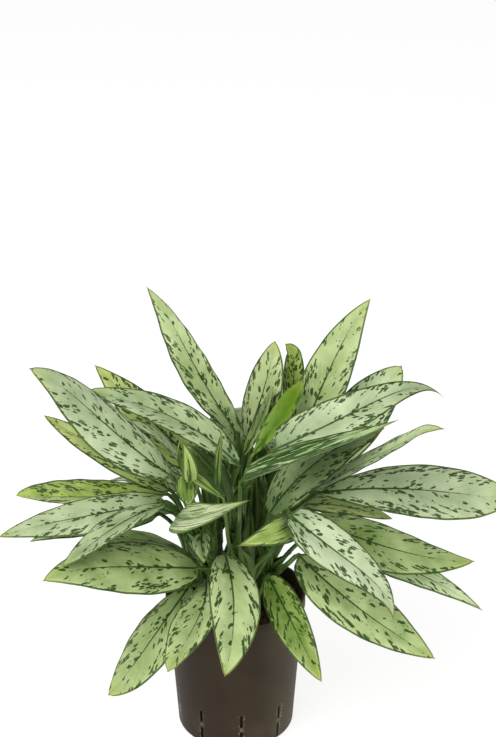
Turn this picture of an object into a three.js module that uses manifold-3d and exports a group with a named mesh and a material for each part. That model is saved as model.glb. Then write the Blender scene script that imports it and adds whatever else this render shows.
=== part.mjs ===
// Potted Chinese evergreen (Aglaonema) in a dark brown hydroculture pot.
// Millimetres, +Z up. The origin is the centre of the pot's flat base, +X is to
// the right and -Y is the side that the plant shows to a viewer.
import * as THREE from "three";
import { mergeVertices } from "three/addons/utils/BufferGeometryUtils.js";
import Module from "manifold-3d";

const wasm = await Module();
wasm.setup();

// ---- driving dimensions -------------------------------------------------
const pot = {
  height: 195,
  rimRadius: 90,
  rimHeight: 18,
  wallTopRadius: 87.3,
  baseRadius: 75.5,
  cornerRadius: 6,
  innerTopRadius: 86.6,
  innerFloorRadius: 71.5,
  floorThickness: 3.5,
  edgeRound: 1,
  sides: 48,
};
const slots = {
  count: 9,
  pitch: 40,
  firstTurn: -84.4,
  width: 2.6,
  cutDepth: 20,
  upper: [29, 52.5],
  lower: [6, 25.5],
};
const substrate = {
  gapToWall: 0.35,
  top: 181,
  edgeDip: 2.6,
  grain: 9,
  grainHeight: 2.6,
  rowSkew: 0.37,
  columnSkew: 0.41,
  columnSway: 1.3,
  rings: 12,
  sides: 42,
};
const cane = {
  radius: 7,
  tipRadius: 3,
  tipLength: 12,
  foot: 118,
  holeGap: 0.35,
  sides: 12,
};
const leafShape = {
  cup: 0.25,
  edgeThickness: 0.7,
  midThickness: 0.9,
  ribTop: 0.4,
  ribDepth: 1.3,
  tipWidth: 0.6,
  caneGap: 0.35,
  fullRibHalfWidth: 8,
  outlinePower: 1.5,
  hookPower: 6,
  petioleRadius: 1.4,
  petioleRadiusPerWidth: 0.02,
  petioleWiden: 1.35,
  petioleBow: 0.4,
  petioleNeck: 0.35,
  footOutward: 0.45,
  footUpward: 0.9,
  neckAlong: 0.75,
  neckUpward: 0.25,
  stations: [0.05, 0.15, 0.3, 0.45, 0.6, 0.75, 0.88, 1],
  petioleSteps: 4,
  smallStations: [0.08, 0.25, 0.45, 0.65, 0.85, 1],
  smallPetioleSteps: 3,
};

// Canes: at is the place in the granulate, lean the place at the cane's top, where
// its growing tip starts, and top that height.
const canes = {
  left: { at: [-42, 8], lean: [-46, 10], top: 300 },
  left_front: { at: [-24, -36], lean: [-31, -43], top: 316 },
  middle: { at: [-4, 4], lean: [-2, 0], top: 345 },
  front: { at: [18, -40], lean: [18, -48], top: 282 },
  right: { at: [40, 4], lean: [44, 4], top: 318 },
  right_back: { at: [30, 42], lean: [36, 46], top: 325 },
  left_back: { at: [-22, 42], lean: [-26, 48], top: 318 },
};

// Leaves. cane and foot say where the petiole leaves its cane, and swing turns
// that place sideways; base and tip are the ends of the blade. lift and side
// bow the midrib up and sideways, hook lifts its outer part so that the tip
// drops, roll turns the blade about its midrib, fold is the V of the two halves,
// belly the place of the widest part, and bend leads the petiole's top aside.
// A small leaf has fewer stations.
const leaves = [
  { name: "leaf_01_top_left", cane: "middle", foot: 320, swing: 8,
    base: [4, 31, 403], tip: [-105, 3, 613], width: 68,
    lift: -8, side: -5, roll: 37, hook: 16, fold: 8, belly: 0.4, bend: [0.4, 0, 0] },
  { name: "leaf_02_left_up", cane: "left_front", foot: 286, swing: -17,
    base: [-75, -63, 391], tip: [-245, -36, 524], width: 80,
    lift: -18, side: 17, roll: -17, hook: 24, fold: 5, belly: 0.42, bend: [0.15, -0.15, 0.15] },
  { name: "leaf_03_left_back", cane: "left_back", foot: 271, swing: 11,
    base: [-39, 43, 346], tip: [-181, 115, 460], width: 62,
    lift: -1, side: -4, roll: -30, hook: 4, fold: 16, belly: 0.37, bend: [0.25, 0, 0.1] },
  { name: "leaf_04_left_over", cane: "middle", foot: 287, swing: -12,
    base: [6, -35, 391], tip: [-181, 26, 467], width: 62,
    lift: 9, side: 24, roll: -11, hook: -10, fold: 22, belly: 0.46, bend: [0.6, -0.45, -0.4] },
  { name: "leaf_05_left_mid", cane: "left", foot: 274, swing: -13,
    base: [-57, 8, 336], tip: [-141, 14, 431], width: 53,
    lift: 15, side: 7, roll: 12, hook: 4, fold: 19, belly: 0.43, bend: [0.15, -0.1, 0] },
  { name: "leaf_06_left_low", cane: "left", foot: 254, swing: 20,
    base: [-79, -2, 339], tip: [-238, 25, 432], width: 57,
    lift: 3, side: -3, roll: -9, hook: -4, fold: 17, belly: 0.42, bend: [0.1, 0, 0.1] },
  { name: "leaf_07_left_far", cane: "left", foot: 241, swing: 10,
    base: [-86, 30, 318], tip: [-289, 96, 280], width: 64,
    lift: -2, side: -4, roll: 64, hook: 3, fold: 26, belly: 0.51, bend: [0.15, 0, 0.25] },
  { name: "leaf_08_left_flat", cane: "left", foot: 222, swing: 9,
    base: [-86, 6, 320], tip: [-299, -12, 279], width: 67,
    lift: -3, side: 7, roll: -17, hook: 6, fold: 14, belly: 0.39, bend: [0.15, 0, 0.25] },
  { name: "leaf_09_left_under", cane: "left", foot: 202, swing: -2,
    base: [-96, 21, 294], tip: [-267, 38, 243], width: 55,
    lift: 4, side: 0, roll: -14, hook: 7, fold: 17, belly: 0.37, bend: [0.1, 0, 0.2] },
  { name: "leaf_10_left_turned", cane: "left_front", foot: 263, swing: -11,
    base: [-84, -55, 349], tip: [-204, -146, 317], width: 52,
    lift: 16, side: -1, roll: 5, hook: -11, fold: 19, belly: 0.46, bend: [0.05, 0.1, 0.15] },
  { name: "leaf_11_low_left", cane: "left_front", foot: 229, swing: 58,
    base: [-42, -78, 273], tip: [-227, -156, 302], width: 78,
    lift: 2, side: -2, roll: -28, hook: 20, fold: 11, belly: 0.41, bend: [0, -0.1, -0.2] },
  { name: "leaf_12_low_left_back", cane: "left", foot: 193, swing: 11,
    base: [-45, -15, 243], tip: [-195, -83, 305], width: 59,
    lift: 20, side: 1, roll: 2, hook: 2, fold: 17, belly: 0.42, bend: [0.2, 0, 0.05] },
  { name: "leaf_13_lower_left", cane: "left_front", foot: 209, swing: -23,
    base: [-54, -63, 242], tip: [-157, -131, 123], width: 70,
    lift: 12, side: -11, roll: -9, hook: -9, fold: 7, belly: 0.49, bend: [0.25, 0.15, 0.4] },
  { name: "leaf_14_lower_left_in", cane: "left_front", foot: 195, swing: 18,
    base: [-36, -56, 243], tip: [-78, -217, 215], width: 70,
    lift: 12, side: -16, roll: 19, hook: 11, fold: 21, belly: 0.53, bend: [-0.1, 0.5, 0.2] },
  { name: "leaf_15_front", cane: "front", foot: 219, swing: -16,
    base: [-13, -67, 288], tip: [-11, -235, 221], width: 72,
    lift: 8, side: -11, roll: -21, hook: -2, fold: 22, belly: 0.41, bend: [-0.15, 0.25, 0.3] },
  { name: "leaf_16_front_right", cane: "front", foot: 204, swing: 9,
    base: [41, -57, 250], tip: [104, -192, 184], width: 51,
    lift: 10, side: 4, roll: 43, hook: -2, fold: 24, belly: 0.41, bend: [-0.1, 0.5, 0.3] },
  { name: "leaf_17_lower_right", cane: "right", foot: 204, swing: 10,
    base: [77, -66, 286], tip: [242, -156, 193], width: 80,
    lift: -4, side: 8, roll: 26, hook: 3, fold: 22, belly: 0.38, bend: [0, 0.2, 0.9] },
  { name: "leaf_18_right_arched", cane: "right", foot: 226, swing: -20,
    base: [65, -99, 361], tip: [191, -142, 238], width: 68,
    lift: -6, side: -1, roll: 21, hook: 40, fold: 18, belly: 0.32, bend: [-0.7, -1.2, 0.5] },
  { name: "leaf_19_right_mid", cane: "right", foot: 240, swing: 8,
    base: [92, -1, 303], tip: [296, -66, 276], width: 74,
    lift: 2, side: 19, roll: 22, hook: -8, fold: 6, belly: 0.38, bend: [-0.05, 0.15, 0.2] },
  { name: "leaf_20_right_between", cane: "right_back", foot: 222, swing: -12,
    base: [85, 38, 298], tip: [202, 35, 279], width: 54,
    lift: 9, side: 1, roll: 0, hook: -3, fold: 18, belly: 0.42, bend: [-0.1, 0, 0.15] },
  { name: "leaf_21_right_far", cane: "right_back", foot: 246, swing: -10,
    base: [103, 19, 325], tip: [348, 6, 327], width: 80,
    lift: 11, side: -8, roll: 32, hook: -15, fold: 11, belly: 0.6, bend: [-0.1, -0.05, 0.15] },
  { name: "leaf_22_right_pale", cane: "right", foot: 218, swing: -4,
    base: [105, 0, 282], tip: [310, -62, 202], width: 55,
    lift: 4, side: 3, roll: 13, hook: 10, fold: 15, belly: 0.34, bend: [0.1, 0, 0.5] },
  { name: "leaf_23_top_mid", cane: "left_back", foot: 300, swing: -4,
    base: [14, 38, 391], tip: [50, 75, 511], width: 58,
    lift: -3, side: 2, roll: 3, hook: 0, fold: 13, belly: 0.47, bend: [0, -0.05, 0] },
  { name: "leaf_24_rolled", cane: "middle", foot: 338, swing: 7,
    base: [21, -6, 391], tip: [84, 55, 465], width: 30,
    lift: 8, side: 10, roll: 14, hook: 2, fold: 24, belly: 0.57, bend: [-0.15, -0.45, -0.1] },
  { name: "leaf_25_top_narrow", cane: "middle", foot: 304, swing: 3,
    base: [10, 18, 378], tip: [48, 37, 467], width: 33,
    lift: -2, side: 1, roll: -7, hook: 0, fold: 18, belly: 0.43, bend: [-0.15, -0.1, 0.05] },
  { name: "leaf_26_top_small", cane: "right_back", foot: 306, swing: 0,
    base: [63, 63, 392], tip: [74, 98, 498], width: 33,
    lift: -3, side: 4, roll: -19, hook: 0, fold: 16, belly: 0.62, bend: [0, 0, 0] },
  { name: "leaf_27_top_right", cane: "right_back", foot: 287, swing: -2,
    base: [82, 40, 390], tip: [169, 88, 563], width: 66,
    lift: 4, side: 1, roll: 27, hook: 10, fold: 13, belly: 0.37, bend: [0, 0, 0] },
  { name: "leaf_28_right_up", cane: "middle", foot: 318, swing: -10,
    base: [46, -25, 408], tip: [263, 65, 438], width: 64,
    lift: 14, side: 29, roll: 36, hook: 51, fold: 25, belly: 0.21, bend: [0, 0.3, 0] },
  { name: "leaf_29_right_back", cane: "right_back", foot: 266, swing: 12,
    base: [105, 36, 336], tip: [214, 121, 456], width: 73,
    lift: 12, side: 5, roll: 28, hook: 0, fold: 18, belly: 0.49, bend: [-0.05, -0.45, -0.1] },
  { name: "leaf_30_right_shade", cane: "right", foot: 247, swing: -8,
    base: [41, -20, 314], tip: [186, 15, 419], width: 68,
    lift: 17, side: -3, roll: 25, hook: 2, fold: 18, belly: 0.4, bend: [-0.15, -0.1, 0.05] },
  { name: "leaf_31_right_edge", cane: "front", foot: 258, swing: -20,
    base: [6, -82, 395], tip: [193, -93, 484], width: 60,
    lift: 0, side: 2, roll: 1, hook: -4, fold: 37, belly: 0.28, bend: [-0.75, 0.1, 0.9] },
  { name: "leaf_32_right_slim", cane: "right", foot: 275, swing: 7,
    base: [57, 20, 303], tip: [236, -80, 472], width: 53,
    lift: -2, side: -20, roll: 10, hook: -4, fold: 20, belly: 0.53, bend: [-0.3, 0.25, 0.1] },
  { name: "leaf_33_small_left", cane: "front", foot: 247, swing: -52,
    base: [-13, -101, 383], tip: [-63, -105, 462], width: 26,
    lift: -15, side: 24, roll: -24, hook: -10, fold: 15, belly: 0.43, bend: [0.4, 0.1, 0.6], small: true },
  { name: "leaf_34_small_hanging", cane: "left_front", foot: 288, swing: 6,
    base: [-57, -78, 404], tip: [-54, -87, 365], width: 32,
    lift: 3, side: 2, roll: 1, hook: -1, fold: 17, belly: 0.36, bend: [-0.3, 0.3, 0.8], small: true },
  { name: "leaf_35_small_dark", cane: "middle", foot: 262, swing: -20,
    base: [-7, -60, 354], tip: [-64, -46, 430], width: 42,
    lift: 13, side: 4, roll: 43, hook: 2, fold: 15, belly: 0.43, bend: [0, 0, 0] },
  { name: "leaf_36_rolled_thin", cane: "left_front", foot: 304, swing: 0,
    base: [-20, -82, 386], tip: [-14, -70, 458], width: 11,
    lift: 3, side: -1, roll: -3, hook: 1, fold: 18, belly: 0.42, bend: [0, -0.1, 0.2], small: true },
  { name: "leaf_37_pale_hanging", cane: "left_front", foot: 247, swing: -12,
    base: [-69, -94, 354], tip: [18, -127, 395], width: 48,
    lift: 4, side: 30, roll: 25, hook: 4, fold: 19, belly: 0.24, bend: [-0.1, 0.05, 0.05] },
  { name: "leaf_38_small_front", cane: "left_front", foot: 242, swing: 17,
    base: [-40, -74, 320], tip: [-37, -106, 297], width: 28,
    lift: 9, side: 2, roll: 17, hook: 0, fold: 18, belly: 0.39, bend: [0.05, 0.4, 0.25], small: true },
  { name: "leaf_39_arched_right", cane: "front", foot: 241, swing: 21,
    base: [65, -69, 333], tip: [5, -135, 338], width: 39,
    lift: 13, side: -25, roll: -48, hook: 1, fold: 15, belly: 0.28, bend: [0.05, 0.1, 0.05] },
  { name: "leaf_40_back_left_low", cane: "left_back", foot: 225, swing: 0,
    base: [-64, 86, 290], tip: [-184, 190, 240], width: 68,
    lift: 14, side: 4, roll: 6, hook: 10, fold: 16, belly: 0.42, bend: [0.05, -0.05, 0.1] },
  { name: "leaf_41_back_left", cane: "left_back", foot: 248, swing: 0,
    base: [-42, 98, 300], tip: [-96, 262, 262], width: 70,
    lift: 12, side: -4, roll: -6, hook: 12, fold: 16, belly: 0.42, bend: [0.05, -0.05, 0.1] },
  { name: "leaf_42_back_right_low", cane: "right_back", foot: 206, swing: 30,
    base: [70, 84, 262], tip: [176, 196, 196], width: 70,
    lift: 16, side: -4, roll: -8, hook: 10, fold: 16, belly: 0.42, bend: [0, -0.1, 0.15] },
  { name: "leaf_43_back_right", cane: "right_back", foot: 238, swing: 0,
    base: [48, 104, 296], tip: [84, 272, 270], width: 68,
    lift: 12, side: 6, roll: 6, hook: 12, fold: 17, belly: 0.42, bend: [-0.05, 0, 0.05] },
  { name: "leaf_44_back_left_side", cane: "left", foot: 214, swing: -30,
    base: [-80, 64, 271], tip: [-236, 134, 217], width: 66,
    lift: 14, side: 3, roll: 5, hook: 8, fold: 16, belly: 0.42, bend: [0.1, 0.1, 0.05] },
  { name: "leaf_45_back_right_side", cane: "right_back", foot: 202, swing: -12,
    base: [98, 64, 275], tip: [248, 116, 241], width: 68,
    lift: 14, side: -3, roll: -5, hook: 8, fold: 16, belly: 0.42, bend: [0, -0.05, 0.05] },
  { name: "leaf_46_back_middle", cane: "middle", foot: 267, swing: 0,
    base: [0, 92, 338], tip: [-6, 240, 330], width: 66,
    lift: 20, side: 0, roll: 0, hook: 12, fold: 17, belly: 0.42, bend: [0, 0.05, -0.05] },
  { name: "leaf_47_back_low", cane: "left_back", foot: 200, swing: -6,
    base: [0, 88, 242], tip: [-4, 226, 168], width: 66,
    lift: 18, side: 0, roll: 0, hook: 8, fold: 17, belly: 0.42, bend: [0.15, -0.1, 0.1] },
  { name: "leaf_48_back_upper_left", cane: "left_back", foot: 288, swing: 20,
    base: [-36, 88, 346], tip: [-128, 190, 364], width: 62,
    lift: 16, side: 3, roll: 4, hook: 12, fold: 17, belly: 0.42, bend: [0, 0, 0] },
  { name: "leaf_49_back_upper_right", cane: "right_back", foot: 266, swing: 25,
    base: [60, 98, 344], tip: [146, 196, 368], width: 62,
    lift: 16, side: -3, roll: -4, hook: 12, fold: 17, belly: 0.42, bend: [0, 0, 0] },
  { name: "leaf_50_back_upper_mid", cane: "right_back", foot: 310, swing: 40,
    base: [34, 84, 372], tip: [54, 208, 390], width: 56,
    lift: 14, side: 0, roll: 0, hook: 14, fold: 17, belly: 0.42, bend: [0, 0, 0] },
];

// ---- materials ------------------------------------------------------------
const finish = (color, roughness) => new THREE.MeshStandardMaterial({ color, roughness, metalness: 0 });
const potPlastic = () => finish(0x3e342c, 0.55);
const clay = () => finish(0x7a5238, 0.95);
const caneGreen = () => finish(0x3f5a2a, 0.6);
const leafGreen = () => finish(0xa9c48a, 0.45);

// ---- helpers --------------------------------------------------------------
const radians = THREE.MathUtils.degToRad;
const vec = (list) => new THREE.Vector3(...list);
const mix = THREE.MathUtils.lerp;
const UP = new THREE.Vector3(0, 0, 1);
const ACROSS = [-1, -0.5, 0, 0.5, 1];
const RING_POINTS = 2 * ACROSS.length;

// Joins equal-length rings of points into one closed body with flat end caps.
function loft(rings) {
  const count = rings[0].length;
  const positions = rings.flat().flatMap((point) => point.toArray());
  const index = [];
  for (let ring = 0; ring + 1 < rings.length; ring += 1) {
    for (let side = 0; side < count; side += 1) {
      const next = (side + 1) % count;
      const low = ring * count;
      const high = low + count;
      index.push(low + side, low + next, high + next);
      index.push(low + side, high + next, high + side);
    }
  }
  const last = (rings.length - 1) * count;
  for (let side = 1; side + 1 < count; side += 1) {
    index.push(0, side + 1, side);
    index.push(last, last + side, last + side + 1);
  }
  const geometry = new THREE.BufferGeometry();
  geometry.setAttribute("position", new THREE.Float32BufferAttribute(positions, 3));
  geometry.setIndex(index);
  return geometry;
}

function toSolid(geometry) {
  const bare = geometry.clone();
  bare.deleteAttribute("normal");
  bare.deleteAttribute("uv");
  const merged = mergeVertices(bare, 1e-4);
  return new wasm.Manifold(new wasm.Mesh({
    numProp: 3,
    vertProperties: new Float32Array(merged.attributes.position.array),
    triVerts: new Uint32Array(merged.index.array),
  }));
}

function toGeometry(solid) {
  const mesh = solid.getMesh();
  const geometry = new THREE.BufferGeometry();
  geometry.setAttribute("position", new THREE.BufferAttribute(mesh.vertProperties, 3));
  geometry.setIndex(new THREE.BufferAttribute(mesh.triVerts, 1));
  return geometry;
}

function lathe(profile, sides) {
  const geometry = new THREE.LatheGeometry(profile.map(([r, z]) => new THREE.Vector2(r, z)), sides);
  geometry.rotateX(Math.PI / 2);
  return geometry;
}

// ---- pot --------------------------------------------------------------------
function potProfile() {
  const { height, rimRadius, rimHeight, wallTopRadius, baseRadius, cornerRadius } = pot;
  const { innerTopRadius, innerFloorRadius, floorThickness, edgeRound } = pot;
  const shoulder = height - rimHeight;
  const corner = [];
  for (const turn of [-90, -60, -30, 0]) {
    const angle = radians(turn);
    corner.push([
      baseRadius - cornerRadius + cornerRadius * Math.cos(angle),
      cornerRadius + cornerRadius * Math.sin(angle),
    ]);
  }
  return [
    [0, 0],
    ...corner,
    [wallTopRadius, shoulder],
    [rimRadius - edgeRound, shoulder],
    [rimRadius, shoulder + edgeRound],
    [rimRadius, height - edgeRound],
    [rimRadius - edgeRound, height],
    [innerTopRadius + edgeRound / 2, height],
    [innerTopRadius, height - edgeRound / 2],
    [innerFloorRadius, floorThickness],
    [0, floorThickness],
  ];
}

function slotCutter(turn, [bottom, top]) {
  const box = new THREE.BoxGeometry(slots.cutDepth, slots.width, top - bottom);
  box.translate(pot.baseRadius, 0, (top + bottom) / 2);
  box.rotateZ(radians(turn));
  return toSolid(box);
}

function buildPot() {
  let solid = toSolid(lathe(potProfile(), pot.sides));
  for (let slot = 0; slot < slots.count; slot += 1) {
    const turn = slots.firstTurn + slot * slots.pitch;
    solid = solid.subtract(slotCutter(turn, slots.upper));
    solid = solid.subtract(slotCutter(turn, slots.lower));
  }
  return toGeometry(solid);
}

// ---- canes ------------------------------------------------------------------
function caneAxis(name, height) {
  const { at, lean, top } = canes[name];
  const share = Math.max(0, (height - substrate.top) / (top - substrate.top));
  return new THREE.Vector3(mix(at[0], lean[0], share), mix(at[1], lean[1], share), height);
}

function caneDirection(name) {
  return caneAxis(name, canes[name].top).sub(caneAxis(name, substrate.top)).normalize();
}

function caneRing(centre, radius) {
  const ring = [];
  for (let side = 0; side < cane.sides; side += 1) {
    const angle = (2 * Math.PI * side) / cane.sides;
    ring.push(new THREE.Vector3(Math.cos(angle) * radius, Math.sin(angle) * radius, 0).add(centre));
  }
  return ring;
}

function buildCane(name) {
  const { top } = canes[name];
  const tip = caneAxis(name, top).addScaledVector(caneDirection(name), cane.tipLength);
  return loft([
    caneRing(caneAxis(name, cane.foot), cane.radius),
    caneRing(caneAxis(name, substrate.top), cane.radius),
    caneRing(caneAxis(name, top), cane.radius),
    caneRing(tip, cane.tipRadius),
  ]);
}

// ---- substrate ----------------------------------------------------------------
// The granules' relief: rounded heads on two crossed waves that share the grain size.
function grainRelief(x, y) {
  const { grain, grainHeight, rowSkew, columnSkew, columnSway } = substrate;
  const wave = (2 * Math.PI) / grain;
  const across = Math.sin(wave * x + Math.sin(wave * y * rowSkew));
  const along = Math.sin(wave * y + columnSway * Math.sin(wave * x * columnSkew));
  return (grainHeight / 2) * across * along;
}

function innerRadiusAt(height) {
  const share = (height - pot.floorThickness) / (pot.height - pot.edgeRound / 2 - pot.floorThickness);
  return mix(pot.innerFloorRadius, pot.innerTopRadius, share);
}

function substrateRing(radius, height, relief) {
  const ring = [];
  for (let side = 0; side < substrate.sides; side += 1) {
    const angle = (2 * Math.PI * side) / substrate.sides;
    const x = Math.cos(angle) * radius;
    const y = Math.sin(angle) * radius;
    ring.push(new THREE.Vector3(x, y, height + (relief ? grainRelief(x, y) : 0)));
  }
  return ring;
}

// A straight round hole that ends just under the cane's foot.
function caneHole(name) {
  const radius = cane.radius + cane.holeGap;
  const floor = cane.foot - cane.holeGap;
  const length = pot.height - floor;
  const hole = new THREE.CylinderGeometry(radius, radius, length, cane.sides);
  hole.rotateX(Math.PI / 2);
  const [x, y] = canes[name].at;
  hole.translate(x, y, floor + length / 2);
  return toSolid(hole);
}

function buildSubstrate() {
  const { gapToWall, top, edgeDip, grainHeight, rings } = substrate;
  const floor = pot.floorThickness + gapToWall;
  const flatOfSides = Math.cos(Math.PI / pot.sides);
  const edgeAt = (height) => innerRadiusAt(height) * flatOfSides - gapToWall;
  const rimEdge = edgeAt(top) - grainHeight / 2;
  const outline = [
    substrateRing(edgeAt(floor), floor, false),
    substrateRing(rimEdge, top - edgeDip, false),
  ];
  for (let step = 0; step < rings; step += 1) {
    const radius = rimEdge * (1 - step / rings) - gapToWall;
    outline.push(substrateRing(radius, top, true));
  }
  let solid = toSolid(loft(outline));
  for (const name of Object.keys(canes)) {
    solid = solid.subtract(caneHole(name));
  }
  return toGeometry(solid);
}

// ---- leaves -------------------------------------------------------------------
// Half width along the midrib as a share of the widest, 0 at the base and the tip.
function bladeShare(t, belly) {
  const toBase = leafShape.outlinePower * belly;
  const toTip = leafShape.outlinePower - toBase;
  return (t ** toBase * (1 - t) ** toTip) / (belly ** toBase * (1 - belly) ** toTip);
}

// The straight line from base to tip, the direction over it and the one across.
function chordFrame(leaf) {
  const chord = vec(leaf.tip).sub(vec(leaf.base));
  const along = chord.clone().normalize();
  const over = UP.clone().addScaledVector(along, -UP.dot(along)).normalize();
  return { chord, over, across: along.clone().cross(over) };
}

function midribPoint(leaf, t) {
  const { chord, over, across } = chordFrame(leaf);
  const bow = 4 * t * (1 - t);
  const pull = t - t ** leafShape.hookPower;
  return vec(leaf.base).addScaledVector(chord, t)
    .addScaledVector(over, leaf.lift * bow + leaf.hook * pull)
    .addScaledVector(across, leaf.side * bow);
}

// The blade's own directions at t: along the midrib, out of the blade, across it.
function bladeFrame(leaf, t) {
  const step = 1e-3;
  const ahead = midribPoint(leaf, Math.min(1, t + step));
  const behind = midribPoint(leaf, Math.max(0, t - step));
  const along = ahead.sub(behind).normalize();
  const { over } = chordFrame(leaf);
  const out = over.addScaledVector(along, -over.dot(along)).normalize();
  const across = along.clone().cross(out);
  const roll = radians(leaf.roll);
  return {
    along,
    out: out.clone().multiplyScalar(Math.cos(roll)).addScaledVector(across, Math.sin(roll)),
    across: across.clone().multiplyScalar(Math.cos(roll)).addScaledVector(out, -Math.sin(roll)),
  };
}

// Five points across the upper face and the same five back across the lower one.
// s runs from -1 at one edge over the midrib at 0 to 1 at the other edge.
function bladeRing(leaf, t) {
  const { cup, tipWidth, midThickness, edgeThickness, ribTop, ribDepth, fullRibHalfWidth } = leafShape;
  const { out, across } = bladeFrame(leaf, t);
  const centre = midribPoint(leaf, t);
  const half = Math.max(tipWidth, bladeShare(t, leaf.belly) * leaf.width / 2);
  const fold = radians(leaf.fold);
  const ribShare = Math.min(1, half / fullRibHalfWidth) * (1 - t);
  const halfThickness = (s) => mix(midThickness, edgeThickness, Math.abs(s)) / 2;
  const above = (s) => (s === 0 ? ribTop : halfThickness(s));
  const below = (s) => (s === 0 ? mix(edgeThickness / 2, ribDepth, ribShare) : halfThickness(s));
  const point = (s, lift) => {
    const rise = (Math.tan(fold) * Math.abs(s) - cup * s * s) * Math.cos(fold);
    return centre.clone()
      .addScaledVector(across, half * s * Math.cos(fold))
      .addScaledVector(out, half * rise + lift);
  };
  const top = ACROSS.map((s) => point(s, above(s)));
  const bottom = ACROSS.map((s) => point(-s, -below(s)));
  return [...top, ...bottom];
}

// The petiole's ring has as many points as the blade's, spread round its section.
function petioleRing(centre, out, across, radius) {
  const ring = [];
  const step = (2 * Math.PI) / RING_POINTS;
  for (let side = 0; side < RING_POINTS; side += 1) {
    const angle = Math.PI - step * (side + 0.5);
    ring.push(centre.clone()
      .addScaledVector(across, radius * Math.cos(angle))
      .addScaledVector(out, radius * Math.sin(angle)));
  }
  return ring;
}

// From the cane's side up to the blade's base, leaving steeply and ending along the midrib.
function petioleCurve(leaf) {
  const axis = caneAxis(leaf.cane, leaf.foot);
  const base = vec(leaf.base);
  const stem = caneDirection(leaf.cane);
  const turn = Math.atan2(base.y - axis.y, base.x - axis.x) + radians(leaf.swing);
  const level = new THREE.Vector3(Math.cos(turn), Math.sin(turn), 0);
  const outward = level.addScaledVector(stem, -level.dot(stem)).normalize();
  const foot = axis.addScaledVector(outward, cane.radius + leafShape.caneGap);
  const reach = foot.distanceTo(base);
  const rise = outward.clone()
    .multiplyScalar(leafShape.footOutward)
    .addScaledVector(UP, leafShape.footUpward);
  const neck = bladeFrame(leaf, 0).along
    .multiplyScalar(leafShape.neckAlong)
    .addScaledVector(UP, leafShape.neckUpward)
    .add(vec(leaf.bend))
    .normalize();
  const curve = new THREE.CubicBezierCurve3(
    foot,
    foot.clone().addScaledVector(rise, leafShape.petioleBow * reach),
    base.clone().addScaledVector(neck, -leafShape.petioleNeck * reach),
    base,
  );
  return { curve, outward };
}

function petioleRings(leaf, steps) {
  const { curve, outward } = petioleCurve(leaf);
  const thin = leafShape.petioleRadius + leafShape.petioleRadiusPerWidth * leaf.width;
  const rings = [];
  let { out } = bladeFrame(leaf, 0);
  for (let step = steps; step >= 0; step -= 1) {
    const t = step / steps;
    const along = curve.getTangent(t);
    out = out.clone().addScaledVector(along, -out.dot(along)).normalize();
    const across = along.clone().cross(out);
    const radius = thin * mix(leafShape.petioleWiden, 1, t);
    const centre = curve.getPoint(t);
    const ring = petioleRing(centre, out, across, radius);
    if (step === 0) {
      // The foot is cut flat along the cane's side.
      ring.forEach((point) => {
        const off = point.clone().sub(centre).dot(outward) / along.dot(outward);
        point.addScaledVector(along, -off);
      });
    }
    rings.unshift(ring);
  }
  return rings;
}

function buildLeaf(leaf) {
  const stations = leaf.small ? leafShape.smallStations : leafShape.stations;
  const steps = leaf.small ? leafShape.smallPetioleSteps : leafShape.petioleSteps;
  return loft([...petioleRings(leaf, steps), ...stations.map((t) => bladeRing(leaf, t))]);
}

// ---- assembly -------------------------------------------------------------------
function addMesh(group, name, geometry, material) {
  geometry.computeVertexNormals();
  const mesh = new THREE.Mesh(geometry, material);
  mesh.name = name;
  group.add(mesh);
}

const plant = new THREE.Group();
addMesh(plant, "pot", buildPot(), potPlastic());
addMesh(plant, "clay_granulate", buildSubstrate(), clay());
for (const name of Object.keys(canes)) {
  addMesh(plant, `cane_${name}`, buildCane(name), caneGreen());
}
for (const leaf of leaves) {
  addMesh(plant, leaf.name, buildLeaf(leaf), leafGreen());
}

export default plant;
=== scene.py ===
"""Potted Chinese evergreen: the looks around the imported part.

Metres in Blender, millimetres in the named sizes below. The leaves, canes,
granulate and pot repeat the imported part's sizes and forms in finer meshes.
"""

from collections import namedtuple
from functools import partialmethod
from math import atan, atan2, cos, pi, radians, sin, sqrt, tan
from types import SimpleNamespace as Values

import bmesh
import bpy
import numpy as np
from mathutils import Matrix, Vector, noise


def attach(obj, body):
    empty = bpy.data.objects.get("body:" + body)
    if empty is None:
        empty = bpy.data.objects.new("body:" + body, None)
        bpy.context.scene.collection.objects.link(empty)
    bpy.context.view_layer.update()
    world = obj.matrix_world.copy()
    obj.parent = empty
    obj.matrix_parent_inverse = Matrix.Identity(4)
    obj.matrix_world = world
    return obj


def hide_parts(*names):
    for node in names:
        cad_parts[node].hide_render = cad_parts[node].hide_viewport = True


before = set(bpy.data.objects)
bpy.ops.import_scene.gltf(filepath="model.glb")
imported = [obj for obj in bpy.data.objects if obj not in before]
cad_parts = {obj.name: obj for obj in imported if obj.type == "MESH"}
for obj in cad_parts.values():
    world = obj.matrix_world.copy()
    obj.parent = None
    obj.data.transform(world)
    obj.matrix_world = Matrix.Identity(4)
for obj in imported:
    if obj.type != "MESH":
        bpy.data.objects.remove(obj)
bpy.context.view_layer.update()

MM = 0.001
BODY = "root"
SEED = 7

# ---- camera and light ----
IMAGE_HEIGHT = 737
CAMERA_FOCUS_PIXELS = 1800
CAMERA_SENSOR_MM = 36
CAMERA_PLACE = (16.1, -1988.1, 1413.3)
CAMERA_PITCH_DOWN = 24.5
CAMERA_SEES_TO = 50000
FLOOR = Values(half_side=60000, grey=0.4, glow=0.8)
SKY_STRENGTH = 0.38
# Each lamp: its place and its width in metres, its power and its colour.
LIGHTS = {
    "key": ((-1.2, -1.6, 2.4), 2.6, 72, (1.0, 0.985, 0.96)),
    "fill": ((1.8, -1.4, 1.2), 2.0, 9, (0.96, 0.98, 1.0)),
}
# The place in metres that the lamps point at.
LIT_PLACE = (0, 0, 0.3)

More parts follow.
